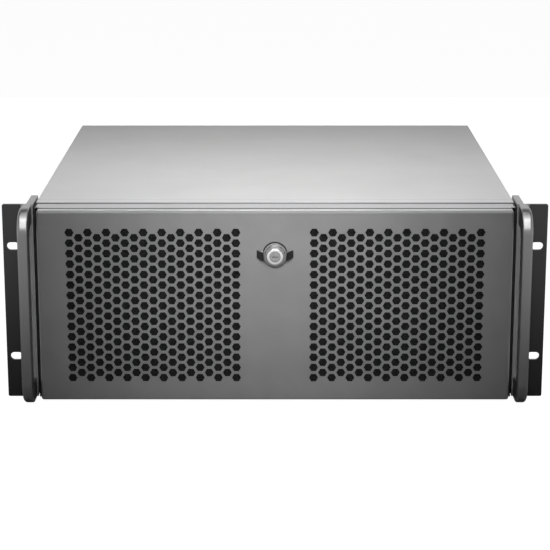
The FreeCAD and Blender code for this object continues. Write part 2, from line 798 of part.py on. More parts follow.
def lock_bush():
    end = DOOR_INNER + NUT_THICK + BUSH_END
    steps = [(BUSH_FLANGE, BUSH_FRONT, DOOR_FRONT), (BUSH_RADIUS, DOOR_FRONT, end)]
    bush = stepped_y(steps, 0, LOCK_HEIGHT)
    return bush.cut(hole_y(SPINDLE_RADIUS + RUNNING_FIT, BUSH_FRONT, end, 0, LOCK_HEIGHT))


def lock_nut():
    end = DOOR_INNER + NUT_THICK
    nut = hole_y(NUT_FLATS / 2, DOOR_INNER, end, 0, LOCK_HEIGHT, 6)
    return nut.cut(hole_y(BUSH_RADIUS + RUNNING_FIT, DOOR_INNER, end, 0, LOCK_HEIGHT))


def lock_knob():
    disc = rod_y(KNOB_RADIUS, KNOB_FRONT, KNOB_BACK, 0, LOCK_HEIGHT, LOCK_SIDES)
    tip = KNOB_BACK - WING_TIP
    crest = KNOB_BACK - WING_ROOT
    span = WING_SPAN / 2
    root = COLLAR_STEPS[0]
    plan = [(-span, KNOB_BACK), (span, KNOB_BACK), (span, tip), (root, crest), (-root, crest),
            (-span, tip)]
    low = LOCK_HEIGHT - WING_HEIGHT / 2
    wings = upright(plan, low, low + WING_HEIGHT)
    seat = hole_y(root, crest, KNOB_FRONT, 0, LOCK_HEIGHT, LOCK_SIDES)
    return join(disc, wings).cut(seat)


def lock_collar():
    steps = []
    level = KNOB_FRONT
    for radius in COLLAR_STEPS:
        steps.append((radius, level - COLLAR_STEP_DEPTH, level))
        level -= COLLAR_STEP_DEPTH
    collar = stepped_y(steps, 0, LOCK_HEIGHT, LOCK_SIDES)
    mouth = hole_y(COLLAR_MOUTH, COLLAR_FRONT, PLUG_FRONT, 0, LOCK_HEIGHT, LOCK_SIDES)
    bore = hole_y(PLUG_RADIUS + RUNNING_FIT, PLUG_FRONT, KNOB_FRONT, 0, LOCK_HEIGHT, LOCK_SIDES)
    return collar.cut([mouth, bore])


def key_plug():
    plug = pin_y(PLUG_RADIUS, PLUG_FRONT, PLUG_FRONT + PLUG_LENGTH, 0, LOCK_HEIGHT)
    keyway = block(
        -KEYWAY_WIDTH / 2, KEYWAY_WIDTH / 2, PLUG_FRONT, PLUG_FRONT + KEYWAY_DEPTH,
        LOCK_HEIGHT - KEYWAY_HEIGHT / 2, LOCK_HEIGHT + KEYWAY_HEIGHT / 2)
    return plug.cut(keyway)


def lock_spindle():
    end = CAM_BACK + RUNNING_FIT
    stem = pin_y(SPINDLE_RADIUS, KNOB_BACK, end, 0, LOCK_HEIGHT)
    return join(stem, rod_y(CAM_HEAD, end, end + CAM_HEAD_THICK, 0, LOCK_HEIGHT))


def lock_cam():
    half = CAM_WIDTH / 2
    arm = block(
        0, CAM_LENGTH, CAM_FRONT, CAM_BACK, LOCK_HEIGHT - half, LOCK_HEIGHT + half)
    eye = rod_y(half, CAM_FRONT, CAM_BACK, 0, LOCK_HEIGHT)
    bore = hole_y(SPINDLE_RADIUS + RUNNING_FIT, CAM_FRONT, CAM_BACK, 0, LOCK_HEIGHT)
    return join(arm, eye).cut(bore)


# Fans, made about Z with the motor plate at the far end, then turned into place

def hexahedron(near, far):
    """Solid between two four-cornered ends."""
    faces = [Part.Face(Part.makePolygon(near + near[:1])), Part.Face(Part.makePolygon(far + far[:1]))]
    for index in range(4):
        following = (index + 1) % 4
        side = [near[index], near[following], far[following], far[index], near[index]]
        faces.append(Part.Face(Part.makePolygon(side)))
    return Part.Solid(Part.makeShell(faces))


def fan_frame(size, depth):
    half = size / 2
    cut = half - FAN_CORNER
    body = upright([
        (-half, -cut), (-cut, -half), (cut, -half), (half, -cut),
        (half, cut), (cut, half), (-cut, half), (-half, cut)], 0, depth)
    body = body.cut(faceted(fan_bore(size), BORE_SIDES, 0, depth))
    arm = FAN_MOUNT / 2
    low = depth - FAN_MOUNT
    reach = half - FAN_WALL / 2
    plate = faceted(FAN_HUB * size, SMALL_SIDES, low, depth)
    bars = join(
        plate, block(-reach, reach, -arm, arm, low, depth),
        block(-arm, arm, -reach, reach, low, depth))
    bearing = faceted(flats_reach(FAN_SHAFT + RUNNING_FIT, 6), 6, low, depth)
    return join(body, bars).cut(bearing)


def fan_rotor(size, depth):
    hub = FAN_HUB * size
    tip = fan_bore(size) - FAN_TIP_GAP
    low = FAN_MARGIN
    high = depth - FAN_MOUNT - TURN_GAP
    solid = faceted(hub, SMALL_SIDES, low, high)
    shaft = Part.makeCylinder(FAN_SHAFT, FAN_MOUNT / 2 + TURN_GAP, Vector(0, 0, high))
    middle = (low + high) / 2
    rise = (high - low) / 2 - FAN_BLADE_THICK
    half = rise / math.tan(math.radians(FAN_BLADE_PITCH))
    share = min(1.0, FAN_ROOT * hub / half)
    stations = [(hub * 0.8, share), (math.sqrt(tip ** 2 - half ** 2), 1.0)]
    ends = []
    for reach, scale in stations:
        corners = []
        for along, off in ((-1, -1), (1, -1), (1, 1), (-1, 1)):
            side = scale * along * half + off * FAN_BLADE_THICK / 2
            corners.append(Vector(reach, side, middle + scale * along * rise))
        ends.append(corners)
    blade = hexahedron(*ends)
    copies = []
    for index in range(FAN_BLADES):
        copies.append(blade.rotated(Vector(0, 0, 0), Z_AXIS, 360 * index / FAN_BLADES))
    return join(solid, shaft, *copies)


def facing_back(shape, x, y, z):
    """Turn a fan about Z so that its motor plate faces the rear."""
    turned = shape.rotated(Vector(0, 0, 0), X_AXIS, -90)
    return turned.translated(Vector(x, y, z))


def facing_down(shape, x, y, top):
    turned = shape.rotated(Vector(0, 0, 0), X_AXIS, 180)
    return turned.translated(Vector(x, y, top))


# Control panel: buttons, lights and sockets in the frame, on one small board

CONTROL_FRONT = FRAME_FRONT + BUTTON_LENGTH + BUTTON_TRAVEL + TURN_GAP + SWITCH_DEPTH


def push_button(side, radius):
    x, z = button_place(side)
    rim = FRAME_BACK + BUTTON_PLAY
    back = rim + BUTTON_RIM_THICK
    return stepped_y([
        (radius, FRAME_FRONT, rim),
        (radius + BUTTON_RIM, rim, back),
        (radius / 2, back, FRAME_FRONT + BUTTON_LENGTH),
    ], x, z)


def control_board():
    x = CONTROL_SPREAD + SOCKET_WIDTH / 2 + CONTROL_MARGIN
    low = LOCK_HEIGHT - SOCKET_ROW - SOCKET_HEIGHT / 2 - CONTROL_MARGIN
    high = LOCK_HEIGHT - BUTTON_ROW + POWER_RADIUS + CONTROL_MARGIN
    board = block(-x, x, CONTROL_FRONT, CONTROL_FRONT + CONTROL_BOARD, low, high)
    pieces = []
    for side in (-1, 1):
        bx, bz = button_place(side)
        half = POWER_RADIUS / 2
        pieces.append(block(
            bx - half, bx + half, CONTROL_FRONT - SWITCH_DEPTH, CONTROL_FRONT,
            bz - half, bz + half))
        for level in (low, high - CONTROL_MARGIN / 2):
            edge = side * (x - CONTROL_MARGIN / 4)
            post = CONTROL_MARGIN / 4
            pieces.append(block(
                edge - post, edge + post, FRAME_BACK, CONTROL_FRONT,
                level, level + CONTROL_MARGIN / 2))
    return join(board, *pieces)


def status_lights():
    lights = []
    for side in (-1, 1):
        x, z = light_place(side)
        lights.append(rod_y(LIGHT_RADIUS, FRAME_FRONT, CONTROL_FRONT, x, z))
    return group(lights)


def usb_sockets():
    sockets = []
    for side in (-1, 1):
        x, z = socket_place(side)
        wide = SOCKET_WIDTH / 2
        tall = SOCKET_HEIGHT / 2
        case = block(x - wide, x + wide, FRAME_FRONT, CONTROL_FRONT, z - tall, z + tall)
        mouth = block(
            x - wide + SOCKET_WALL, x + wide - SOCKET_WALL, FRAME_FRONT,
            FRAME_FRONT + SOCKET_DEPTH, z - tall + SOCKET_WALL, z + tall - SOCKET_WALL)
        tongue = block(
            x - wide + 2 * SOCKET_WALL, x + wide - 2 * SOCKET_WALL, FRAME_FRONT + SOCKET_WALL,
            FRAME_FRONT + SOCKET_DEPTH, z, z + SOCKET_TONGUE)
        sockets.append(join(case.cut(mouth), tongue))
    return group(sockets)


# Mainboard and what stands on it

CHIP_X = BOARD_RIGHT - CHIP_SIDE
CHIP_Y = BOARD_BACK - CHIP_REAR
SINK_UNDER = BOARD_TOP + CHIP_HEIGHT
SINK_TOP = SINK_UNDER + SINK_HEIGHT


def mainboard():
    return block(BOARD_LEFT, BOARD_RIGHT, BOARD_FRONT, BOARD_BACK, BOARD_UNDER, BOARD_TOP)


def standoffs():
    posts = []
    for column in (0, 0.5, 1):
        for row in (0, 1):
            x = BOARD_LEFT + STANDOFF_INSET + column * (BOARD_WIDTH - 2 * STANDOFF_INSET)
            y = BOARD_FRONT + STANDOFF_INSET + row * (BOARD_DEPTH - 2 * STANDOFF_INSET)
            post = faceted(flats_reach(STANDOFF_FLATS / 2, 6), 6, SHEET, BOARD_UNDER)
            posts.append(post.translated(Vector(x, y, 0)))
    return group(posts)


def processor():
    half = CHIP_SIZE / 2
    return block(
        CHIP_X - half, CHIP_X + half, CHIP_Y - half, CHIP_Y + half, BOARD_TOP, SINK_UNDER)


def heat_sink():
    outline = comb(COOLER_FAN, SINK_BASE, SINK_HEIGHT, SINK_FINS, SINK_FIN)
    sink = lengthwise(outline, -COOLER_FAN / 2, COOLER_FAN / 2)
    return sink.translated(Vector(CHIP_X, CHIP_Y, SINK_UNDER))


def memory_rows():
    start = BOARD_FRONT + MEMORY_FRONT
    return [start + MEMORY_PITCH * index for index in range(MEMORY_COUNT)]


def memory_sockets():
    half = MEMORY_LENGTH / 2 + MEMORY_SOCKET_END
    sockets = []
    for y in memory_rows():
        sockets.append(block(
            CHIP_X - half, CHIP_X + half, y - MEMORY_SOCKET_WIDTH / 2,
            y + MEMORY_SOCKET_WIDTH / 2, BOARD_TOP, BOARD_TOP + MEMORY_SOCKET_HEIGHT))
    return group(sockets)


def memory_modules():
    low = BOARD_TOP + MEMORY_SOCKET_HEIGHT
    modules = []
    for y in memory_rows():
        modules.append(block(
            CHIP_X - MEMORY_LENGTH / 2, CHIP_X + MEMORY_LENGTH / 2, y - MEMORY_THICK / 2,
            y + MEMORY_THICK / 2, low, low + MEMORY_HEIGHT))
    return group(modules)


def card_sockets():
    back = BOARD_BACK - CARD_SOCKET_REAR
    half = CARD_SOCKET_WIDTH / 2
    sockets = []
    for x in card_places():
        sockets.append(block(
            x - half, x + half, back - CARD_SOCKET_LENGTH, back, BOARD_TOP,
            BOARD_TOP + CARD_SOCKET_HEIGHT))
    return group(sockets)


def bridge_sink():
    outline = comb(BRIDGE_SIZE, SINK_BASE / 2, BRIDGE_HEIGHT, BRIDGE_FINS, SINK_FIN)
    sink = lengthwise(outline, 0, BRIDGE_SIZE)
    x = card_places()[1]
    y = BOARD_BACK - CARD_SOCKET_REAR - CARD_SOCKET_LENGTH - BRIDGE_SIZE - BRIDGE_GAP
    return sink.translated(Vector(x, y, BOARD_TOP))


# Rear ports: width, height and place of each block across the field

PORT_BLOCKS = (
    (0.07, 16.0, 30.0),
    (0.24, 32.0, 13.0),
    (0.47, 18.0, 16.0),
    (0.61, 16.5, 30.0),
    (0.75, 16.5, 30.0),
    (0.90, 15.0, 36.0),
)


def port_boxes(extra, y0, y1):
    boxes = []
    for share, width, height in PORT_BLOCKS:
        x = PORT_LEFT + share * PORT_WIDTH
        half = width / 2 + extra
        boxes.append(block(x - half, x + half, y0, y1, BOARD_TOP - extra, BOARD_TOP + height + extra))
    return boxes


def port_shield():
    plate = block(
        PORT_LEFT + PORT_PLAY, PORT_RIGHT - PORT_PLAY, REAR_INNER, REAR_INNER + SHIELD_SHEET,
        PORT_BASE + PORT_PLAY, PORT_BASE + PORT_HEIGHT - PORT_PLAY)
    return plate.cut(port_boxes(PORT_PLAY, REAR_INNER, REAR_INNER + SHIELD_SHEET))


def rear_ports():
    front = BOARD_BACK - PORT_DEPTH
    blocks = port_boxes(0, front, CASE_BACK)
    mouths = port_boxes(-PORT_RIM, CASE_BACK - PORT_RECESS, CASE_BACK)
    return group([solid.cut(mouth) for solid, mouth in zip(blocks, mouths)])


def card_cover_top():
    return CARD_OPENING_BASE + CARD_OPENING_HEIGHT + CARD_COVER_LAP


def slot_covers():
    """Blanking plates with the upper end folded inwards."""
    low = CARD_OPENING_BASE - CARD_COVER_LAP
    line = [
        (REAR_INNER - CARD_TAB, card_cover_top()),
        (REAR_INNER, card_cover_top()),
        (REAR_INNER, low)]
    outline = folded_outline(line[::-1], CARD_COVER_SHEET)
    half = CARD_COVER / 2
    return group([across(outline, x - half, x + half) for x in card_places()])


def slot_retainer():
    places = card_places()
    half = CARD_COVER / 2
    top = card_cover_top()
    return block(
        places[-1] - half, places[0] + half, REAR_INNER - CARD_TAB, REAR_INNER,
        top, top + RETAINER_HEIGHT)


def card_clamp():
    """Channel across the case, from wall to wall."""
    top = CASE_HEIGHT - CLAMP_DROP
    base = top - CLAMP_HEIGHT
    back = CLAMP_FRONT + CLAMP_WIDTH
    line = [(back, base), (back, top), (CLAMP_FRONT, top), (CLAMP_FRONT, base)]
    return across(folded_outline(line, SHEET), -INNER_HALF, INNER_HALF)


# Power supply: sheet case, fan, mains inlet and rocker switch

SUPPLY_FRONT = REAR_INNER - SUPPLY_DEPTH
SUPPLY_TOP = SUPPLY_BASE + SUPPLY_HEIGHT
SUPPLY_SKIN = REAR_INNER - SUPPLY_SHEET
SUPPLY_FAN_Z = SUPPLY_TOP - SUPPLY_FAN_DROP
INLET_X = SUPPLY_MIDDLE - INLET_SHIFT
INLET_Z = SUPPLY_BASE + INLET_RISE
ROCKER_X = SUPPLY_MIDDLE + ROCKER_SHIFT
ROCKER_Y = REAR_INNER - ROCKER_SET


def rocker_opening(extra):
    wide = ROCKER_WIDTH / 2 + ROCKER_PLAY + extra
    tall = ROCKER_HEIGHT / 2 + ROCKER_ROOM + extra
    return wide, tall


def supply_case():
    sheet = SUPPLY_SHEET
    case = block(
        SUPPLY_LEFT, SUPPLY_RIGHT, SUPPLY_FRONT, REAR_INNER, SUPPLY_BASE, SUPPLY_TOP)
    hollow = block(
        SUPPLY_LEFT + sheet, SUPPLY_RIGHT - sheet, SUPPLY_FRONT + sheet, SUPPLY_SKIN,
        SUPPLY_BASE + sheet, SUPPLY_TOP - sheet)
    wide = INLET_WIDTH / 2 + INLET_PLAY
    tall = INLET_HEIGHT / 2 + INLET_PLAY
    cuts = [hollow, block(
        INLET_X - wide, INLET_X + wide, SUPPLY_SKIN, REAR_INNER, INLET_Z - tall, INLET_Z + tall)]
    wide, tall = rocker_opening(ROCKER_WALL + INLET_PLAY)
    cuts.append(block(
        ROCKER_X - wide, ROCKER_X + wide, SUPPLY_SKIN, REAR_INNER, INLET_Z - tall, INLET_Z + tall))
    cuts += grille(SUPPLY_MIDDLE, SUPPLY_FAN_Z, SUPPLY_FAN, SUPPLY_SKIN, REAR_INNER)
    return case.cut(cuts)


def inlet_outline(wide, tall):
    """Appliance inlet: a rectangle with its two upper corners cut off."""
    corner = INLET_CORNER
    return [
        (INLET_X - wide, INLET_Z - tall), (INLET_X + wide, INLET_Z - tall),
        (INLET_X + wide, INLET_Z + tall - corner), (INLET_X + wide - corner, INLET_Z + tall),
        (INLET_X - wide + corner, INLET_Z + tall), (INLET_X - wide, INLET_Z + tall - corner)]


def mains_inlet():
    wide = INLET_WIDTH / 2
    tall = INLET_HEIGHT / 2
    front = REAR_INNER + INLET_FLANGE_THICK
    body = block(
        INLET_X - wide, INLET_X + wide, REAR_INNER - INLET_DEPTH, REAR_INNER,
        INLET_Z - tall, INLET_Z + tall)
    wide += INLET_FLANGE
    tall += INLET_FLANGE
    flange = block(
        INLET_X - wide, INLET_X + wide, REAR_INNER, front, INLET_Z - tall, INLET_Z + tall)
    wide = INLET_WIDTH / 2 - INLET_WALL
    tall = INLET_HEIGHT / 2 - INLET_WALL
    mouth = lengthwise(
        inlet_outline(wide, tall), REAR_INNER - INLET_DEPTH + 2 * INLET_WALL, front)
    return join(body, flange).cut(mouth)


def rocker_bezel():
    wide, tall = rocker_opening(ROCKER_WALL)
    body = block(
        ROCKER_X - wide, ROCKER_X + wide, REAR_INNER - ROCKER_BODY, REAR_INNER,
        INLET_Z - tall, INLET_Z + tall)
    lip_wide, lip_tall = rocker_opening(ROCKER_WALL + INLET_FLANGE / 2)
    lip = block(
        ROCKER_X - lip_wide, ROCKER_X + lip_wide, REAR_INNER, REAR_INNER + INLET_FLANGE_THICK,
        INLET_Z - lip_tall, INLET_Z + lip_tall)
    open_wide, open_tall = rocker_opening(0)
    mouth = block(
        ROCKER_X - open_wide, ROCKER_X + open_wide, REAR_INNER - ROCKER_BODY + ROCKER_WALL,
        REAR_INNER + INLET_FLANGE_THICK, INLET_Z - open_tall, INLET_Z + open_tall)
    pin_hole = hole_x(
        ROCKER_PIN + RUNNING_FIT, ROCKER_X - open_wide - ROCKER_WALL / 2,
        ROCKER_X + open_wide + ROCKER_WALL / 2, ROCKER_Y, INLET_Z)
    return join(body, lip).cut([mouth, pin_hole])


def rocker_switch():
    half = ROCKER_HEIGHT / 2
    outline = [
        (ROCKER_Y - ROCKER_ROOT, INLET_Z - half), (ROCKER_Y + ROCKER_CREST, INLET_Z - half),
        (ROCKER_Y + ROCKER_DIP, INLET_Z), (ROCKER_Y + ROCKER_CREST, INLET_Z + half),
        (ROCKER_Y - ROCKER_ROOT, INLET_Z + half)]
    key = across(outline, ROCKER_X - ROCKER_WIDTH / 2, ROCKER_X + ROCKER_WIDTH / 2)
    pin_half = ROCKER_WIDTH / 2 + ROCKER_PLAY + ROCKER_WALL / 4
    pin = rod_x(ROCKER_PIN, ROCKER_X - pin_half, ROCKER_X + pin_half, ROCKER_Y, INLET_Z)
    switch = join(key, pin)
    return switch.rotated(Vector(ROCKER_X, ROCKER_Y, INLET_Z), X_AXIS, -ROCKER_TILT)


# Drive cage and hard drives

CAGE_INNER = DRIVE_WIDTH + 2 * DRIVE_PLAY
CAGE_RIGHT = INNER_HALF - CAGE_WALL_GAP
CAGE_LEFT = CAGE_RIGHT - CAGE_INNER - 2 * CAGE_SHEET
CAGE_FRONT = FRONT_FAN_BACK + CAGE_FAN_GAP
CAGE_BACK = CAGE_FRONT + DRIVE_LENGTH
CAGE_TOP = SHEET + 2 * CAGE_SHEET + DRIVE_COUNT * DRIVE_PITCH


def drive_cage():
    sheet = CAGE_SHEET
    tube = block(CAGE_LEFT, CAGE_RIGHT, CAGE_FRONT, CAGE_BACK, SHEET, CAGE_TOP)
    hollow = block(
        CAGE_LEFT + sheet, CAGE_RIGHT - sheet, CAGE_FRONT, CAGE_BACK, SHEET + sheet,
        CAGE_TOP - sheet)
    margin = (1 - CAGE_WINDOW) / 2
    window = block(
        CAGE_LEFT, CAGE_RIGHT, CAGE_FRONT + margin * DRIVE_LENGTH,
        CAGE_BACK - margin * DRIVE_LENGTH, SHEET + margin * (CAGE_TOP - SHEET),
        CAGE_TOP - margin * (CAGE_TOP - SHEET))
    return tube.cut([hollow, window])


def hard_drives():
    left = CAGE_LEFT + CAGE_SHEET + DRIVE_PLAY
    right = left + DRIVE_WIDTH
    drives = []
    for index in range(DRIVE_COUNT):
        low = SHEET + CAGE_SHEET + index * DRIVE_PITCH + DRIVE_PLAY
        body = block(left, right, CAGE_FRONT, CAGE_BACK, low, low + DRIVE_HEIGHT - DRIVE_LID)
        inset = DRIVE_LID_INSET
        lid = block(
            left + inset, right - inset, CAGE_FRONT + inset, CAGE_BACK - inset,
            low + DRIVE_HEIGHT - DRIVE_LID, low + DRIVE_HEIGHT)
        drives.append(join(body, lid))
    return group(drives)


# Every piece under its own name

pieces = {
    "chassis_tray": chassis_tray(),
    "front_frame": front_frame(),
    "rear_panel": rear_panel(),
    "top_cover": top_cover(),
    "right_ear": right_ear(),
    "front_door": front_door(),
    "right_dust_filter": dust_filter(),
    "left_dust_filter": mirrored(dust_filter()),
    "hinge_brackets": group([right_bracket(), mirrored(right_bracket())]),
    "hinge_lugs": group([right_lug(), mirrored(right_lug())]),
    "hinge_pins": group([right_pin(), mirrored(right_pin())]),
    "lock_bush": lock_bush(),
    "lock_nut": lock_nut(),
    "lock_knob": lock_knob(),
    "lock_collar": lock_collar(),
    "lock_spindle": lock_spindle(),
    "lock_cam": lock_cam(),
    "key_plug": key_plug(),
    "power_button": push_button(-1, POWER_RADIUS),
    "reset_button": push_button(1, RESET_RADIUS),
    "control_board": control_board(),
    "status_lights": status_lights(),
    "usb_sockets": usb_sockets(),
    "mainboard": mainboard(),
    "standoffs": standoffs(),
    "processor": processor(),
    "heat_sink": heat_sink(),
    "memory_sockets": memory_sockets(),
    "memory_modules": memory_modules(),
    "card_sockets": card_sockets(),
    "bridge_sink": bridge_sink(),
    "port_shield": port_shield(),
    "rear_ports": rear_ports(),
    "slot_covers": slot_covers(),
    "slot_retainer": slot_retainer(),
    "card_clamp": card_clamp(),
    "supply_case": supply_case(),
    "mains_inlet": mains_inlet(),
    "rocker_bezel": rocker_bezel(),
    "rocker_switch": rocker_switch(),
    "drive_cage": drive_cage(),
    "hard_drives": hard_drives(),
}
pieces["left_ear"] = mirrored(pieces["right_ear"])

for side, (x, z) in zip(("left", "right"), thumb_places()):
    pieces[side + "_thumb_screw"] = thumb_screw(x, z)

front_frame_shape = fan_frame(FRONT_FAN, FAN_DEPTH)
front_rotor_shape = fan_rotor(FRONT_FAN, FAN_DEPTH)
for side, x in zip(("left", "right"), front_fan_places()):
    place = (x, FRAME_BACK, FIELD_MIDDLE)
    pieces[side + "_front_fan"] = facing_back(front_frame_shape, *place)
    pieces[side + "_front_rotor"] = facing_back(front_rotor_shape, *place)

rear_frame_shape = fan_frame(REAR_FAN, FAN_DEPTH)
rear_rotor_shape = fan_rotor(REAR_FAN, FAN_DEPTH)
for side, (x, z) in zip(("left", "right"), rear_fan_places()):
    place = (x, REAR_INNER - FAN_DEPTH, z)
    pieces[side + "_rear_fan"] = facing_back(rear_frame_shape, *place)
    pieces[side + "_rear_rotor"] = facing_back(rear_rotor_shape, *place)

supply_place = (SUPPLY_MIDDLE, SUPPLY_SKIN - SUPPLY_FAN_DEPTH, SUPPLY_FAN_Z)
pieces["supply_fan"] = facing_back(fan_frame(SUPPLY_FAN, SUPPLY_FAN_DEPTH), *supply_place)
pieces["supply_rotor"] = facing_back(fan_rotor(SUPPLY_FAN, SUPPLY_FAN_DEPTH), *supply_place)

cooler_place = (CHIP_X, CHIP_Y, SINK_TOP + FAN_DEPTH)
pieces["cooler_fan"] = facing_down(fan_frame(COOLER_FAN, FAN_DEPTH), *cooler_place)
pieces["cooler_rotor"] = facing_down(fan_rotor(COOLER_FAN, FAN_DEPTH), *cooler_place)

os.makedirs("parts", exist_ok=True)
for name, shape in pieces.items():
    shape.exportStep("parts/" + name + ".step")
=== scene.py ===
import math

import bpy
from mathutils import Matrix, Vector


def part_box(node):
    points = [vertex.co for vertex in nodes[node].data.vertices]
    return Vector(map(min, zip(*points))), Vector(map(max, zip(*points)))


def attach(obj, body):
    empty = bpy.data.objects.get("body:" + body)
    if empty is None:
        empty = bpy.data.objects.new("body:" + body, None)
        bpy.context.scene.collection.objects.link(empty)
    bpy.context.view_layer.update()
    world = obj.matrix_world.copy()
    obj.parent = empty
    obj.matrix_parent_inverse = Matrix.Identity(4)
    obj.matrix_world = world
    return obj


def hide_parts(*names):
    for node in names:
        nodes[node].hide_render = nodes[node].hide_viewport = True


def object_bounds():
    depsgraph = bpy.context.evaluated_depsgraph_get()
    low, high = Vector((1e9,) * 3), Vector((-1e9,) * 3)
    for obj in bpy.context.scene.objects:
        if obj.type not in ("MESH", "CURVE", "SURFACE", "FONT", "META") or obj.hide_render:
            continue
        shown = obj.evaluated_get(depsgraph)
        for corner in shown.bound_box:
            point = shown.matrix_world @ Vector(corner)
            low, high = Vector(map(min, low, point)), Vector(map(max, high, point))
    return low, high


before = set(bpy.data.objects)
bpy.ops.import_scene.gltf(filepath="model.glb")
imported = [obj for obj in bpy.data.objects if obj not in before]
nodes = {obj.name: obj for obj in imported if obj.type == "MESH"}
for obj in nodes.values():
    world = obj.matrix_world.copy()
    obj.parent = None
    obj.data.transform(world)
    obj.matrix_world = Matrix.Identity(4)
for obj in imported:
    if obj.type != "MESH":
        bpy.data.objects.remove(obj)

cad_low, cad_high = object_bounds()


# Folded case: tray, front frame, rear panel and sliding cover.
# Cold rolled steel sheet with a satin zinc coat, punched, folded and riveted.
# The solids have the real shape and keep it; the coat and the eased edges come here.

def grained(name, dark, light, scale, roughness, metallic=0.0, bump=0.05, bump_scale=900.0, specular=0.5):
    """A coat whose colour and gloss drift a little over the surface, with a fine grain in relief."""
    material = bpy.data.materials.new(name)
    material.use_nodes = True
    tree = material.node_tree
    shader = tree.nodes["Principled BSDF"]
    shader.inputs["Metallic"].default_value = metallic
    shader.inputs["Specular IOR Level"].default_value = specular
    place = tree.nodes.new("ShaderNodeTexCoord")
    drift = tree.nodes.new("ShaderNodeTexNoise")
    drift.inputs["Scale"].default_value = scale
    drift.inputs["Detail"].default_value = 6.0
    tree.links.new(place.outputs["Object"], drift.inputs["Vector"])
    ramp = tree.nodes.new("ShaderNodeValToRGB")
    ramp.color_ramp.elements[0].position = 0.3
    ramp.color_ramp.elements[0].color = (*dark, 1)
    ramp.color_ramp.elements[1].position = 0.7
    ramp.color_ramp.elements[1].color = (*light, 1)
    tree.links.new(drift.outputs["Fac"], ramp.inputs["Fac"])
    tree.links.new(ramp.outputs["Color"], shader.inputs["Base Color"])
    gloss = tree.nodes.new("ShaderNodeMapRange")
    gloss.inputs["To Min"].default_value = roughness * 0.95
    gloss.inputs["To Max"].default_value = roughness * 1.05
    tree.links.new(drift.outputs["Fac"], gloss.inputs["Value"])
    tree.links.new(gloss.outputs["Result"], shader.inputs["Roughness"])
    grain = tree.nodes.new("ShaderNodeTexNoise")
    grain.inputs["Scale"].default_value = bump_scale
    grain.inputs["Detail"].default_value = 3.0
    tree.links.new(place.outputs["Object"], grain.inputs["Vector"])
    relief = tree.nodes.new("ShaderNodeBump")
    relief.inputs["Strength"].default_value = bump
    relief.inputs["Distance"].default_value = 0.0005
    tree.links.new(grain.outputs["Fac"], relief.inputs["Height"])
    tree.links.new(relief.outputs["Normal"], shader.inputs["Normal"])
    return material


def reckon(tree, operation, first, second):
    """The result of a sum between two sockets or plain numbers."""
    step = tree.nodes.new("ShaderNodeMath")
    step.operation = operation
    for place, value in enumerate((first, second)):
        if isinstance(value, bpy.types.NodeSocket):
            tree.links.new(value, step.inputs[place])
        else:
            step.inputs[place].default_value = value
    return step.outputs[0]


def banded(material, axis, low, high, colour):
    """Give a coat another colour between two levels along an axis."""
    tree = material.node_tree
    shader = tree.nodes["Principled BSDF"]
    parts = tree.nodes.new("ShaderNodeSeparateXYZ")
    tree.links.new(tree.nodes["Texture Coordinate"].outputs["Object"], parts.inputs["Vector"])
    above = reckon(tree, "GREATER_THAN", parts.outputs[axis], low)
    below = reckon(tree, "LESS_THAN", parts.outputs[axis], high)
    blend = tree.nodes.new("ShaderNodeMixRGB")
    blend.inputs["Color2"].default_value = (*colour, 1)
    tree.links.new(shader.inputs["Base Color"].links[0].from_socket, blend.inputs["Color1"])
    tree.links.new(reckon(tree, "MULTIPLY", above, below), blend.inputs["Fac"])
    tree.links.new(blend.outputs["Color"], shader.inputs["Base Color"])


def dress(name, material, edge=0.0002):
    """Give a solid its coat and take the sharpness off its edges."""
    node = nodes[name]
    node.data.materials.clear()
    node.data.materials.append(material)
    weld = node.modifiers.new("closed skin", "WELD")
    weld.merge_threshold = 0.00001
    ease = node.modifiers.new("eased edges", "BEVEL")
    ease.width = edge
    ease.segments = 2
    ease.limit_method = "ANGLE"
    ease.angle_limit = math.radians(40)
    ease.use_clamp_overlap = True


def zinc_coat(name, shade=1.0, specular=0.5, metallic=0.15):
    dark = (0.57 * shade,) * 3
    light = (0.61 * shade,) * 3
    return grained(name, dark, light, 14.0, 0.48, metallic=metallic, bump=0.02, specular=specular)


zinc = zinc_coat("satin zinc")
dress("rear_panel", zinc)

# The tray is painted black as far back as the top strip reaches: painted shade in the gap beside the door.
beyond = -1.0
strip_back = 0.0135
painted_gap_shade = (0.008, 0.008, 0.008)
tray_zinc = zinc_coat("satin zinc of the tray")
banded(tray_zinc, "Y", beyond, strip_back, painted_gap_shade)
dress("chassis_tray", tray_zinc)

# The front frame is painted dark below its top strip, as painted shade in the gap round the door, and its
# top strip stays bare down to its front edge.
strip_under = 0.1730
frame_painted_shade = (0.05, 0.05, 0.05)
# Its zinc is also painted a shade darker than the cover's, though it is the same zinc: painted shade.
frame_zinc = zinc_coat("satin zinc of the front frame", 0.81)
banded(frame_zinc, "Z", beyond, strip_under, frame_painted_shade)
dress("front_frame", frame_zinc)

# The cover is painted dark along its front edge, a painted shade for the seam, and a thin band close behind
# it is painted darker, the painted shade of a crease.
seam_shade_edge = 0.01365
crease_shade_front = 0.0258
crease_shade_back = 0.0270
cover_zinc = zinc_coat("satin zinc of the cover", 0.99, 0.22, 0.03)
banded(cover_zinc, "Y", beyond, seam_shade_edge, (0.17, 0.17, 0.17))
banded(cover_zinc, "Y", crease_shade_front, crease_shade_back, (0.46, 0.46, 0.46))
dress("top_cover", cover_zinc)


# Rack ears with their bow handles, one on each side.
# Each is a single aluminium casting under a dark grey powder coat: flange, bow and side plate.
# Three screws through bosses on the side plate hold it a little off the wall of the case.

def clear_selection():
    if bpy.context.mode != "OBJECT":
        bpy.ops.object.mode_set(mode="OBJECT")
    bpy.ops.object.select_all(action="DESELECT")


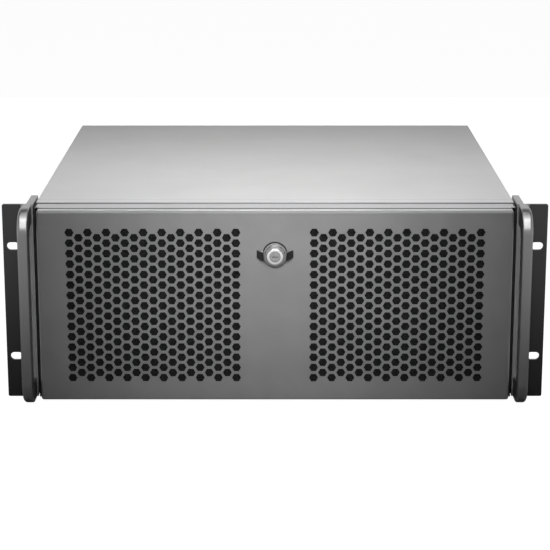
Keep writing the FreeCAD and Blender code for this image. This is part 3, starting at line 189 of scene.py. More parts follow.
def block(name, low, high):
    """A box between two corners, with its place in its mesh."""
    clear_selection()
    low = Vector(low)
    high = Vector(high)
    bpy.ops.mesh.primitive_cube_add(size=1, location=(low + high) / 2)
    piece = bpy.context.object
    piece.name = name
    piece.scale = high - low
    bpy.ops.object.transform_apply(location=True, rotation=True, scale=True)
    return piece


def rod(sides, radius, length, centre, turn=(0, 0, 0)):
    """A cylinder about its centre, with its place and turn in its mesh."""
    clear_selection()
    bpy.ops.mesh.primitive_cylinder_add(
        vertices=sides, radius=radius, depth=length, location=centre, rotation=turn)
    piece = bpy.context.object
    bpy.ops.object.transform_apply(location=True, rotation=True, scale=True)
    return piece


def work_on(piece):
    clear_selection()
    piece.select_set(True)
    bpy.context.view_layer.objects.active = piece


def pick_faces(piece, wanted):
    """Enter edit mode with the faces whose centre and normal are wanted."""
    work_on(piece)
    bpy.ops.object.mode_set(mode="EDIT")
    bpy.ops.mesh.select_mode(type="FACE")
    bpy.ops.mesh.select_all(action="DESELECT")
    bpy.ops.object.mode_set(mode="OBJECT")
    for face in piece.data.polygons:
        face.select = wanted(face.center, face.normal)
    bpy.ops.object.mode_set(mode="EDIT")


def pick_edges(piece, wanted):
    """Enter edit mode with the edges whose middle and direction are wanted."""
    work_on(piece)
    bpy.ops.object.mode_set(mode="EDIT")
    bpy.ops.mesh.select_mode(type="EDGE")
    bpy.ops.mesh.select_all(action="DESELECT")
    bpy.ops.object.mode_set(mode="OBJECT")
    points = piece.data.vertices
    for edge in piece.data.edges:
        first = points[edge.vertices[0]].co
        second = points[edge.vertices[1]].co
        edge.select = wanted((first + second) / 2, (second - first).normalized())
    bpy.ops.object.mode_set(mode="EDIT")


def ease_edges(piece, width, segments=2, angle=35):
    """Round the sharp edges of a finished form."""
    work_on(piece)
    ease = piece.modifiers.new("eased edges", "BEVEL")
    ease.width = width
    ease.segments = segments
    ease.limit_method = "ANGLE"
    ease.angle_limit = math.radians(angle)
    bpy.ops.object.modifier_apply(modifier=ease.name)


def combine(piece, other, operation):
    """Cut another form out of a piece, or weld it on, and use it up."""
    work_on(piece)
    cut = piece.modifiers.new("joined form", "BOOLEAN")
    cut.operation = operation
    cut.solver = "EXACT"
    cut.object = other
    bpy.ops.object.modifier_apply(modifier=cut.name)
    bpy.data.objects.remove(other)


def smooth(piece, angle=35):
    work_on(piece)
    bpy.ops.object.shade_smooth_by_angle(angle=math.radians(angle))
    even = piece.modifiers.new("even shading", "WEIGHTED_NORMAL")
    even.keep_sharp = True
    bpy.ops.object.modifier_apply(modifier=even.name)


def near(value, target):
    return abs(value - target) < 0.00005


def mirrored_copy(piece, name):
    """The same form on the other side of the case."""
    work_on(piece)
    bpy.ops.object.duplicate()
    copy = bpy.context.object
    copy.name = name
    copy.scale.x = -1
    bpy.ops.object.transform_apply(location=True, rotation=True, scale=True)
    return copy


ear_low, ear_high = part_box("right_ear")
flange_thick = 0.003
handle_width = 0.0092
handle_inset = 0.002
grip_depth = 0.015
leg_height = 0.018
bow_corner = 0.020
window_corner = 0.009
bow_rounding = 0.0012
outer_rounding = 0.0030
leg_end = -0.0004
gap_edge = 0.2246
flange_corner = 0.0015
plate_thick = 0.0074
plate_front = -0.001
wall_gap = 0.0009
boss_radius = 0.006
screw_pitch = 0.056
screw_depth = 0.020
slot_spacing = 0.1016
slot_size = Vector((0.011, 0.02, 0.007))
slot_x = ear_high.x - 0.00875
ear_middle = (ear_low.z + ear_high.z) / 2

bow_low = ear_low + Vector((handle_inset, 0, 0))
bow_out = bow_low.x + handle_width
grip_back = ear_low.y + grip_depth
straight_half = ear_high.z - ear_middle - bow_corner
bow = block("right_rack_ear", bow_low, (bow_out, leg_end, ear_high.z))
pick_edges(bow, lambda middle, along: abs(along.x) > 0.9 and near(middle.y, ear_low.y))
bpy.ops.mesh.bevel(offset=bow_corner, segments=14, affect="EDGES")


def on_outer_outline(middle, along):
    """The edge round the bow's front, top and bottom on the side away from the case."""
    past_straight = abs(middle.z - ear_middle) - straight_half
    before_corner = ear_low.y + bow_corner - middle.y
    outside = math.hypot(max(past_straight, 0), max(before_corner, 0)) > bow_corner - 0.002
    return near(middle.x, bow_out) and outside and abs(along.x) < 0.1


pick_edges(bow, on_outer_outline)
bpy.ops.mesh.bevel(offset=outer_rounding, segments=5, affect="EDGES")
window = block(
    "finger gap", (bow_low.x - 0.001, grip_back, ear_low.z + leg_height),
    (bow_out + 0.001, 0.001, ear_high.z - leg_height))
pick_edges(window, lambda middle, along: abs(along.x) > 0.9 and near(middle.y, grip_back))
bpy.ops.mesh.bevel(offset=window_corner, segments=8, affect="EDGES")
combine(bow, window, "DIFFERENCE")
ease_edges(bow, bow_rounding, 3)

flange = block(
    "ear flange", (ear_low.x + wall_gap, -flange_thick, ear_low.z), (ear_high.x, 0, ear_high.z))
pick_edges(flange, lambda middle, along: abs(along.y) > 0.9 and near(middle.x, ear_high.x))
bpy.ops.mesh.bevel(offset=flange_corner, segments=4, affect="EDGES")
for side in (-1, 1):
    centre = Vector((slot_x, 0, ear_middle + side * slot_spacing / 2))
    slot = block("rack slot", centre - slot_size / 2, centre + slot_size / 2)
    pick_edges(slot, lambda middle, along: abs(along.y) > 0.9)
    bpy.ops.mesh.bevel(offset=slot_size.z * 0.499, segments=8, affect="EDGES")
    combine(flange, slot, "DIFFERENCE")
ease_edges(flange, 0.0005)
plate = block(
    "side plate", (ear_low.x + wall_gap, plate_front, ear_low.z),
    (ear_low.x + plate_thick, ear_high.y, ear_high.z))
ease_edges(plate, 0.0008)
combine(bow, flange, "UNION")
combine(bow, plate, "UNION")
screw_rows = [ear_middle + step * screw_pitch for step in (-1, 0, 1)]
for level in screw_rows:
    place = (ear_low.x + wall_gap, screw_depth, level)
    boss = rod(24, boss_radius, 2 * wall_gap, place, (0, math.radians(90), 0))
    combine(bow, boss, "UNION")

# The flange's face is parted at the bow, so that the part behind the bow takes a coat of its own: a paler
# coat as painted light.
pick_faces(bow, lambda centre, normal: normal.y < -0.9 and near(centre.y, -flange_thick))
bpy.ops.mesh.bisect(plane_co=(gap_edge, 0, 0), plane_no=(1, 0, 0))
right_ear = bow
left_ear = mirrored_copy(right_ear, "left_rack_ear")
for ear in (left_ear, right_ear):
    pick_faces(ear, lambda centre, normal: True)
    bpy.ops.mesh.remove_doubles(threshold=0.00002)
    bpy.ops.mesh.normals_make_consistent(inside=False)
    smooth(ear)


def joined(name, pieces):
    """Several like pieces as one."""
    clear_selection()
    for piece in pieces:
        piece.select_set(True)
    bpy.context.view_layer.objects.active = pieces[0]
    if len(pieces) > 1:
        bpy.ops.object.join()
    pieces[0].name = name
    return pieces[0]


def repeated(name, model, places):
    """A copy of one form, modelled at the origin, at each of several places."""
    copies = []
    for place in places:
        work_on(model)
        bpy.ops.object.duplicate()
        copy = bpy.context.object
        copy.location = place
        bpy.ops.object.transform_apply(location=True, rotation=True, scale=True)
        copies.append(copy)
    bpy.data.objects.remove(model)
    return joined(name, copies)


def fit(piece, material, body):
    """Coat a piece and hand it to the body that carries it."""
    piece.data.materials.append(material)
    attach(piece, body)


def recoat(piece, material, wanted):
    """Give some faces of a coated piece another coat."""
    piece.data.materials.append(material)
    pick_faces(piece, wanted)
    piece.active_material_index = len(piece.data.materials) - 1
    bpy.ops.object.material_slot_assign()
    clear_selection()


def screw_heads(name, places, facing, radius=0.0034, height=0.0020):
    """Pan heads with a cross recess on the places that they clamp."""
    head = rod(24, radius, height, (0, 0, height / 2))
    pick_edges(head, lambda middle, along: near(middle.z, height))
    bpy.ops.mesh.bevel(offset=height * 0.6, segments=4, affect="EDGES")
    for long_side in (0, 1):
        half = Vector((radius * 0.14, radius * 0.14, height * 0.4))
        half[long_side] = radius * 0.55
        middle = Vector((0, 0, height))
        combine(head, block("recess", middle - half, middle + half), "DIFFERENCE")
    smooth(head)
    head.rotation_euler = Vector(facing).to_track_quat("Z", "Y").to_euler()
    bpy.ops.object.transform_apply(location=True, rotation=True, scale=True)
    return repeated(name, head, places)


screw_steel = grained(
    "black oxide screw steel", (0.03, 0.03, 0.03), (0.05, 0.05, 0.05), 300.0, 0.38, metallic=0.9,
    bump=0.03)
for side, name in ((-1, "left_ear_screws"), (1, "right_ear_screws")):
    places = [(side * (ear_low.x + plate_thick), screw_depth, level) for level in screw_rows]
    fit(screw_heads(name, places, (side, 0, 0)), screw_steel, "chassis")

# The flange is painted dark outside the bow, a painted shade where the bow shades it, and painted pale
# behind the bow, a painted light.
flange_front = -0.0036
flange_back = 0.0002
bow_edge = 0.2236
ear_coat = grained(
    "dark grey casting coat", (0.19, 0.19, 0.19), (0.215, 0.215, 0.215), 60.0, 0.28, metallic=0.75,
    bump=0.02, bump_scale=2200.0)
banded(ear_coat, "Y", flange_front, flange_back, (0.042, 0.042, 0.042))
banded(ear_coat, "X", -bow_edge, bow_edge, (0.202, 0.202, 0.202))
# Painted light: the flange behind the bow is coloured pale, where light reaches it through the window of
# the bow.
painted_light_behind_bow = grained(
    "painted light behind the bow", (0.30, 0.30, 0.30), (0.35, 0.35, 0.35), 60.0, 0.5, bump=0.02)
for ear, node in ((left_ear, "left_ear"), (right_ear, "right_ear")):
    fit(ear, ear_coat, "chassis")
    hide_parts(node)
    recoat(ear, painted_light_behind_bow, lambda centre, normal: normal.y < -0.9 and centre.y > flange_front
           and abs(centre.x) < gap_edge)


# Front door: a shallow folded tray with splayed sides, hinged along its lower edge.
# Steel sheet, punched with two fields of hexagon holes, under a dark grey powder coat.
# The fields are punched from one hexagon repeated by column and row.

door_low, door_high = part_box("front_door")
door_front_half = 0.2088
door_back_half = 0.2094
sheet = 0.0012
fold = 0.002
flange_fall = 0.001
hole_flats = 0.0072
column_step = 0.0081222
row_step = 0.0095
first_column = 0.0344
field_middle = 0.0897
long_rows = 15
long_columns = 10
punch_length = 4 * sheet
lock_hole_radius = 0.0079

door = block("perforated_door", door_low, door_high)
pick_faces(door, lambda centre, normal: normal.y < -0.9)
bpy.ops.transform.resize(value=(door_front_half / door_high.x, 1, 1))
pick_faces(door, lambda centre, normal: normal.y > 0.9)
bpy.ops.mesh.delete(type="FACE")
pick_edges(door, lambda middle, along: not near(middle.y, door_high.y))
bpy.ops.mesh.bevel(offset=fold, segments=5, affect="EDGES")
pick_edges(door, lambda middle, along: near(middle.y, door_high.y))
bpy.ops.transform.resize(value=(door_back_half / door_high.x, 1, 1))
pick_edges(door, lambda middle, along: near(middle.y, door_high.y) and near(middle.z, door_high.z))
bpy.ops.transform.translate(value=(0, 0, -flange_fall))
work_on(door)
wall = door.modifiers.new("sheet", "SOLIDIFY")
wall.thickness = sheet
wall.offset = -1
wall.use_even_offset = True
bpy.ops.object.modifier_apply(modifier=wall.name)


def punch_columns(rows, columns, shift):
    """Cutter for every second column of the right field."""
    lowest = field_middle - (rows - 1) / 2 * row_step
    place = (first_column + shift * column_step, door_low.y, lowest)
    turn = (math.radians(90), math.radians(30), 0)
    punch = rod(6, hole_flats / math.sqrt(3), punch_length, place, turn)
    for count, step in ((rows, (0, 0, row_step)), (columns, (2 * column_step, 0, 0))):
        repeat = punch.modifiers.new("repeat", "ARRAY")
        repeat.count = count
        repeat.use_relative_offset = False
        repeat.use_constant_offset = True
        repeat.constant_offset_displace = step
        bpy.ops.object.modifier_apply(modifier=repeat.name)
    return punch


long_part = punch_columns(long_rows, long_columns, 0)
short_part = punch_columns(long_rows - 1, long_columns - 1, 1)
field = joined("right field", [long_part, short_part])
left_field = mirrored_copy(field, "left field")
pick_faces(left_field, lambda centre, normal: True)
bpy.ops.mesh.normals_make_consistent(inside=False)
combine(door, field, "DIFFERENCE")
combine(door, left_field, "DIFFERENCE")

lock_low, lock_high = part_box("lock_bush")
lock_height = (lock_low.z + lock_high.z) / 2
lock_hole = rod(
    48, lock_hole_radius, punch_length, (0, door_low.y, lock_height), (math.radians(90), 0, 0))
combine(door, lock_hole, "DIFFERENCE")
smooth(door)

door_coat = grained(
    "dark grey door coat", (0.165, 0.165, 0.165), (0.185, 0.185, 0.185), 40.0, 0.45, bump=0.12,
    bump_scale=2600.0, specular=0.35)
fit(door, door_coat, "door")
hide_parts("front_door")
dress("hinge_lugs", door_coat)


# Dust filters: open cell foam pads behind the two fields of holes, and a dark foam bead above them as
# painted shade.
# Black polyurethane foam, cut to size and pressed in behind the door sheet.
# The bead is of the same foam along the top strip behind the closed door: a dark strip put where there is
# only shade, a painted shade line at the door's top edge.

foam = grained(
    "filter foam", (0.002, 0.002, 0.002), (0.017, 0.017, 0.017), 700.0, 0.9, bump=0.8,
    bump_scale=900.0, specular=0.12)
for piece in ("left_dust_filter", "right_dust_filter"):
    dress(piece, foam, 0.0004)
# The dark bead is painted shade: the shade line between the top strip and the door's top edge.
strip_top = 0.175
shade_bead_half = 0.2085
shade_bead_front = -0.0075
shade_bead_back = -0.0053
shade_bead = block(
    "strip_seal", (-shade_bead_half, shade_bead_front, strip_top - 0.0003), (shade_bead_half, shade_bead_back, strip_top + 0.00015))
ease_edges(shade_bead, 0.0001)
smooth(shade_bead)
fit(shade_bead, foam, "chassis")


# Lock in the door: winged turn knob with a stepped bright collar and a key cylinder.
# Black moulded knob; chromed collar, bush and cylinder, turned from brass.
# The collar sits on the knob, and the cylinder turns inside it.

def turned(name, radius, front, back):
    """A disc about the lock's axis, from its front to its back."""
    centre = (0, (front + back) / 2, lock_height)
    piece = rod(64, radius, back - front, centre, (math.radians(90), 0, 0))
    piece.name = name
    return piece


def off_axis(point):
    return math.hypot(point.x, point.z - lock_height)


def step_front(share, rise):
    """Inset the front face to a share of its radius and raise it towards the viewer."""
    bpy.ops.mesh.extrude_region_move(TRANSFORM_OT_translate={"value": (0, 0, 0)})
    bpy.ops.transform.resize(value=(share, 1, share), center_override=(0, 0, lock_height))
    bpy.ops.mesh.extrude_region_move(TRANSFORM_OT_translate={"value": (0, -rise, 0)})


collar_low, collar_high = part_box("lock_collar")
collar_radii = (0.0104, 0.0088, 0.0073)
collar_step = (collar_high.y - collar_low.y) / 3
mouth_radius = 0.0054
mouth_depth = 0.0012
plug_radius = 0.0046
bore_radius = plug_radius + 0.00008
bore_depth = 0.0062
ring_rounding = 0.0008
collar = turned("lock_collar_bright", collar_radii[0], collar_high.y - collar_step, collar_high.y)
pick_faces(collar, lambda centre, normal: normal.y < -0.9)
step_front(collar_radii[1] / collar_radii[0], collar_step)
step_front(collar_radii[2] / collar_radii[1], collar_step)
pick_edges(collar, lambda middle, along: near(middle.y, collar_low.y))
bpy.ops.mesh.bevel(offset=ring_rounding, segments=5, affect="EDGES")
ease_edges(collar, 0.00025, 3, 60)
pick_faces(collar, lambda centre, normal: near(centre.y, collar_low.y))
step_front(mouth_radius / (collar_radii[2] - ring_rounding), -mouth_depth)
step_front(bore_radius / mouth_radius, -bore_depth)
pick_edges(collar, lambda middle, along: near(middle.y, collar_low.y)
           and off_axis(middle) < mouth_radius + 0.0001)
bpy.ops.mesh.bevel(offset=0.0003, segments=3, affect="EDGES")
smooth(collar, 40)

# The two wide steps are plated dark, and the ring in front is bright.
chrome = grained(
    "polished chrome", (0.74, 0.74, 0.75), (0.8, 0.8, 0.81), 120.0, 0.12, metallic=1.0, bump=0.01)
dark_chrome = grained(
    "dark chrome", (0.27, 0.27, 0.27), (0.31, 0.31, 0.31), 120.0, 0.14, metallic=1.0, bump=0.01)
fit(collar, chrome, "lock")
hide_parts("lock_collar")
recoat(collar, dark_chrome, lambda centre, normal: centre.y > collar_low.y + collar_step - 0.0003
       and off_axis(centre) > mouth_radius + 0.0005)

plug_low, plug_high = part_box("key_plug")
keyway = Vector((0.0050, 0.006, 0.0011))
face_share = 0.66
face_rise = 0.0004
plug = turned("key_cylinder", plug_radius, plug_low.y, plug_high.y)
pick_faces(plug, lambda centre, normal: normal.y < -0.9)
step_front(face_share, face_rise)
centre = Vector((0, plug_low.y, lock_height))
combine(plug, block("keyway", centre - keyway / 2, centre + keyway / 2), "DIFFERENCE")
ease_edges(plug, 0.0003, 2, 50)
smooth(plug, 40)
plug_metal = grained(
    "dulled chrome", (0.36, 0.36, 0.36), (0.48, 0.48, 0.48), 400.0, 0.26, metallic=1.0, bump=0.03)
fit(plug, plug_metal, "key")
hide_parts("key_plug")

knob_low, knob_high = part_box("lock_knob")
knob_radius = 0.0110
knob_disc = 0.0016
wing_root = 0.0085
wing_height = 0.0074
wing_tip = 0.0012
knob = turned("lock_turn_knob", knob_radius, knob_high.y - knob_disc, knob_high.y)
ease_edges(knob, 0.0004, 2, 50)
for side in (-1, 1):
    reach = sorted((side * wing_root, side * knob_high.x))
    wing = block(
        "wing", (reach[0], knob_low.y, lock_height - wing_height / 2),
        (reach[1], knob_high.y, lock_height + wing_height / 2))
    pick_faces(wing, lambda centre, normal: True)
    bpy.ops.mesh.bisect(plane_co=(side * collar_radii[0], 0, 0), plane_no=(1, 0, 0))
    pick_edges(wing, lambda middle, along: abs(along.z) > 0.9 and near(middle.y, knob_low.y)
               and near(abs(middle.x), knob_high.x))
    bpy.ops.transform.translate(value=(0, knob_high.y - wing_tip - knob_low.y, 0))
    ease_edges(wing, 0.0009, 3, 30)
    combine(knob, wing, "UNION")
seat = turned("collar seat", collar_radii[0] + 0.00005, knob_low.y - 0.001, knob_high.y - knob_disc)
combine(knob, seat, "DIFFERENCE")
smooth(knob, 40)
knob_plastic = grained(
    "black moulded knob", (0.006, 0.006, 0.007), (0.011, 0.011, 0.012), 90.0, 0.42, bump=0.06,
    specular=0.3)
# Painted light: the upward faces of the wings are coloured lighter, where the light from above falls on
# them.
painted_lit_wing_tops = grained(
    "painted light on the wing tops", (0.15, 0.15, 0.15), (0.2, 0.2, 0.2), 300.0, 0.4, bump=0.06)
fit(knob, knob_plastic, "lock")
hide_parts("lock_knob")
recoat(knob, painted_lit_wing_tops, lambda centre, normal: normal.z > 0.6 and abs(centre.x) > collar_radii[0])
dress("lock_bush", chrome)
for piece in ("lock_nut", "lock_spindle", "lock_cam", "hinge_brackets", "hinge_pins"):
    dress(piece, zinc)


# Front panel behind the door: push buttons, status lights, sockets and their small board.
# Moulded caps and lenses in the steel frame, sockets of tin-plated sheet on a fibreglass board.
# The sockets are bright at their rims and painted dark behind them, a painted shade inside their mouths.

black_plastic = grained(
    "black moulded plastic", (0.011, 0.011, 0.012), (0.019, 0.019, 0.02), 70.0, 0.5, bump=0.1,
    bump_scale=1500.0)
for piece in ("power_button", "reset_button"):
    dress(piece, black_plastic)
lens = grained("light lens", (0.10, 0.42, 0.14), (0.14, 0.5, 0.18), 200.0, 0.15, bump=0.01)
dress("status_lights", lens)
socket_low, socket_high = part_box("usb_sockets")
socket_rim = 0.0004
socket_tin = zinc_coat("tin plate of the sockets", 0.8)
banded(socket_tin, "Y", socket_low.y + socket_rim, socket_high.y, (0.012, 0.012, 0.013))
dress("usb_sockets", socket_tin)
board_mask = grained(
    "green solder mask", (0.008, 0.06, 0.026), (0.014, 0.085, 0.04), 160.0, 0.35, bump=0.15,
    bump_scale=420.0)
for piece in ("control_board", "mainboard", "memory_modules"):
    dress(piece, board_mask)


# Fans: two at the front, two at the rear, one on the processor and one in the power supply.
# Black glass-filled frames and rotors; each rotor runs on a shaft in the motor plate.

rotor_plastic = grained(
    "black rotor plastic", (0.014, 0.014, 0.015), (0.022, 0.022, 0.023), 50.0, 0.42, bump=0.05)
for piece in ("left_front", "right_front", "left_rear", "right_rear", "cooler", "supply"):
    dress(piece + "_fan", black_plastic, 0.0004)
    dress(piece + "_rotor", rotor_plastic, 0.0003)


# Mainboard fittings: brass standoffs, processor with its finned cooler, memory, card sockets.
# Extruded aluminium fins; moulded sockets soldered to the board.
# Capacitors, chips, chokes, a power socket and a battery stand on the board between them.

brass = grained("standoff brass", (0.55, 0.38, 0.13), (0.63, 0.45, 0.18), 200.0, 0.3, metallic=1.0)
dress("standoffs", brass)
milled = grained(
    "milled aluminium", (0.44, 0.44, 0.45), (0.52, 0.52, 0.53), 90.0, 0.5, metallic=0.6, bump=0.04)
for piece in ("heat_sink", "bridge_sink", "hard_drives"):
    dress(piece, milled)
for piece in ("processor", "memory_sockets", "card_sockets"):
    dress(piece, black_plastic)

board_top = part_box("mainboard")[1].z


def board_row(across, back, count, step_across=0.0, step_back=0.0):
    """Places in a straight row on the board."""
    return [(across + step * step_across, back + step * step_back, board_top) for step in range(count)]


can_radius = 0.0040
can_height = 0.0110
can = rod(24, can_radius, can_height, (0, 0, can_height / 2))
pick_edges(can, lambda middle, along: near(middle.z, can_height))
bpy.ops.mesh.bevel(offset=0.0006, segments=3, affect="EDGES")
pick_faces(can, lambda centre, normal: normal.z > 0.9)
bpy.ops.mesh.inset(thickness=0.0008)
bpy.ops.transform.translate(value=(0, 0, -0.0003))
smooth(can)
places = board_row(-0.010, 0.386, 8, step_across=0.012)
places += board_row(-0.028, 0.285, 6, step_back=0.016)
places += board_row(-0.055, 0.202, 3, step_back=0.013)
can_skin = grained(
    "capacitor sleeve", (0.03, 0.035, 0.06), (0.05, 0.055, 0.09), 300.0, 0.3, bump=0.03)
fit(repeated("board_capacitors", can, places), can_skin, "chassis")


def flat_chip(size):
    """A moulded package with eased edges and a ground mark in one corner."""
    thick = 0.0016
    mark_place = (-size * 0.36, -size * 0.36, thick)
    chip = block("chip", (-size / 2, -size / 2, 0), (size / 2, size / 2, thick))
    ease_edges(chip, 0.0002)
    combine(chip, rod(16, size * 0.05, 0.0004, mark_place), "DIFFERENCE")
    smooth(chip)
    return chip


wide_chips = repeated("wide_chips", flat_chip(0.022), board_row(-0.150, 0.240, 2, 0.100, 0.105))
places = board_row(-0.175, 0.200, 4, step_back=0.016) + board_row(-0.120, 0.196, 4, step_across=0.016)
small_chips = repeated("small_chips", flat_chip(0.010), places)
fit(joined("board_chips", [wide_chips, small_chips]), black_plastic, "chassis")

choke = block("choke", (-0.005, -0.005, 0), (0.005, 0.005, 0.009))
ease_edges(choke, 0.0012, 3)
smooth(choke)
places = board_row(0.089, 0.288, 7, step_back=0.0135)
fit(repeated("board_chokes", choke, places), rotor_plastic, "chassis")

cell_size = 0.0052
cell_height = 0.013
cell_wall = 0.0007
cell_depth = 0.009
cell = block("cell", (-cell_size / 2, -cell_size / 2, 0), (cell_size / 2, cell_size / 2, cell_height))
pick_faces(cell, lambda centre, normal: normal.z > 0.9)
bpy.ops.mesh.inset(thickness=cell_wall)
bpy.ops.mesh.extrude_region_move(TRANSFORM_OT_translate={"value": (0, 0, -cell_depth)})
places = []
for across in (0.091, 0.091 + cell_size):
    places += board_row(across, 0.2425, 7, step_back=cell_size)
ivory = grained("ivory nylon", (0.62, 0.58, 0.47), (0.7, 0.66, 0.55), 150.0, 0.45, bump=0.04)
fit(repeated("board_power_socket", cell, places), ivory, "chassis")

battery_radius = 0.010
battery_thick = 0.0032
battery = rod(48, battery_radius, battery_thick, (0, 0, battery_thick / 2))
pick_edges(battery, lambda middle, along: near(middle.z, battery_thick))
bpy.ops.mesh.bevel(offset=0.0007, segments=3, affect="EDGES")
smooth(battery)
battery = repeated("board_battery", battery, board_row(-0.135, 0.296, 1))
fit(battery, milled, "chassis")

modules_low, modules_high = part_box("memory_modules")
module_pitch = 0.010
first_chip = 0.014
chip_pitch = 0.015
chip_level = modules_low.z + 0.017
memory_chip = block("memory chip", (-0.0045, -0.0005, -0.0055), (0.0045, 0.0005, 0.0055))
ease_edges(memory_chip, 0.0002)
smooth(memory_chip)
places = []
for row in range(4):
    front = modules_low.y + row * module_pitch
    back = modules_high.y - row * module_pitch
    for step in range(8):
        across = modules_low.x + first_chip + step * chip_pitch
        places.append((across, front - 0.0004, chip_level))
        places.append((across, back + 0.0004, chip_level))
fit(repeated("memory_chips", memory_chip, places), black_plastic, "chassis")


# Screws and rivets that hold the rear panel, its fans and the power supply.
# Nickel plated pan heads on the outside of the sheet, and rivets along the folded walls.
# Each head is modelled once and set where the fan, the supply or the panel is clamped.

nickel = grained(
    "nickel plate", (0.5, 0.5, 0.51), (0.58, 0.58, 0.59), 400.0, 0.26, metallic=1.0, bump=0.03)
panel_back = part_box("rear_panel")[1].y
fan_pitch = 0.0715
supply_inset = 0.0085
rivet_inset = 0.007
rivet_levels = (0.03, 0.088, 0.146)
places = []
for fan in ("left_rear_fan", "right_rear_fan"):
    fan_low, fan_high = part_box(fan)
    middle = (fan_low + fan_high) / 2
    for across in (-1, 1):
        for up in (-1, 1):
            places.append((middle.x + across * fan_pitch / 2, panel_back, middle.z + up * fan_pitch / 2))
fan_screws = screw_heads("rear_fan_screws", places, (0, 1, 0), 0.0036, 0.0018)

supply_low, supply_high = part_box("supply_case")
places = []
for across in (supply_low.x + supply_inset, supply_high.x - supply_inset):
    for up in (supply_low.z + supply_inset, supply_high.z - supply_inset):
        places.append((across, supply_high.y, up))
supply_screws = screw_heads("supply_screws", places, (0, 1, 0))
for screws in (fan_screws, supply_screws):
    fit(screws, nickel, "chassis")

wall_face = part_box("chassis_tray")[1].x
for side, name in ((-1, "left_wall_screws"), (1, "right_wall_screws")):
    places = [(side * wall_face, panel_back - rivet_inset, level) for level in rivet_levels]
    screws = screw_heads(name, places, (side, 0, 0), 0.0030, 0.0012)
    fit(screws, nickel, "chassis")


# Rear fittings: port blocks and their shield, slot covers, retainer, clamp, drive cage.
# Bright zinc sheet, pressed and folded, screwed or hooked into the rear panel and the tray.
# Moulded inserts, tongues and coloured rings fill the mouths of the port blocks.

for piece in ("port_shield", "rear_ports", "slot_covers", "slot_retainer", "card_clamp", "drive_cage"):
    dress(piece, zinc)

# Each block has its left edge, its right edge and its height over the board.
desk_block = (-0.0574, -0.0414, 0.030)
display_block = (-0.0385, -0.0065, 0.013)
network_block = (0.0051, 0.0231, 0.016)
flat_blocks = ((0.0280, 0.0445, 0.030), (0.0503, 0.0668, 0.030))
sound_block = (0.0748, 0.0898, 0.036)
port_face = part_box("rear_ports")[1].y
rim = 0.0012
mouth_back = port_face - 0.0025
inserts = []
for left, right, height in (desk_block, display_block, network_block, *flat_blocks, sound_block):
    insert = block(
        "insert", (left + rim, mouth_back - 0.0005, board_top + rim),
        (right - rim, mouth_back + 0.0006, board_top + height - rim))
    ease_edges(insert, 0.0002)
    inserts.append(insert)
fit(joined("port_inserts", inserts), black_plastic, "chassis")

# Flat sockets in two stacks: plated dividers with a moulded tongue in each opening.
divider_half = 0.0008
tongue_inset = 0.0032
tongue_thick = 0.0017
tongue_share = 0.52
dividers = []
tongues = []
for left, right, height in flat_blocks:
    opening = (height - 2 * rim) / 4
    for step in range(4):
        base = board_top + rim + step * opening
        if step:
            divider = block(
                "divider", (left + rim, mouth_back, base - divider_half),
                (right - rim, port_face - 0.0003, base + divider_half))
            ease_edges(divider, 0.0002)
            dividers.append(divider)
        under = base + opening * tongue_share
        tongue = block(
            "tongue", (left + tongue_inset, mouth_back, under),
            (right - tongue_inset, port_face - 0.0008, under + tongue_thick))
        ease_edges(tongue, 0.0002)
        tongues.append(tongue)
fit(joined("port_dividers", dividers), zinc, "chassis")
fit(joined("port_tongues", tongues), ivory, "chassis")


def round_socket(name, colour, place, radius, bore):
    """A coloured ring that faces the rear, with a rounded rim and a dark bore."""
    depth = 0.0018
    turn = Vector((0, 1, 0)).to_track_quat("Z", "Y").to_euler()
    ring = rod(32, radius, depth, (0, 0, depth / 2), turn)
    lighter = tuple(level * 1.2 for level in colour)
    ring.data.materials.append(grained(name.replace("_", " "), colour, lighter, 200.0, 0.4, bump=0.04))
    ring.data.materials.append(black_plastic)
    pick_faces(ring, lambda centre, normal: normal.y > 0.9)
    bpy.ops.mesh.inset(thickness=radius - bore)
    ring.active_material_index = 1
    bpy.ops.object.material_slot_assign()
    bpy.ops.mesh.extrude_region_move(TRANSFORM_OT_translate={"value": (0, -depth * 0.9, 0)})
    bpy.ops.object.material_slot_assign()
    ease_edges(ring, 0.0003)
    smooth(ring)
    socket = repeated(name, ring, [place])
    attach(socket, "chassis")


def socket_stack(port_block, sockets, first, pitch, radius, bore):
    """Round sockets one over the other; first and pitch are shares of the block's height."""
    left, right, height = port_block
    for step, (name, colour) in enumerate(sockets):
        level = board_top + height * (first + pitch * step)
        round_socket(name, colour, ((left + right) / 2, mouth_back + 0.0005, level), radius, bore)


jacks = (
    ("microphone_jack", (0.42, 0.12, 0.18)),
    ("speaker_jack", (0.10, 0.30, 0.10)),
    ("line_jack", (0.07, 0.18, 0.38)))
socket_stack(sound_block, jacks, 0.2, 0.3, 0.0046, 0.0020)
desk_sockets = (
    ("keyboard_socket", (0.18, 0.10, 0.26)),
    ("mouse_socket", (0.10, 0.25, 0.14)))
socket_stack(desk_block, desk_sockets, 0.27, 0.46, 0.0060, 0.0043)

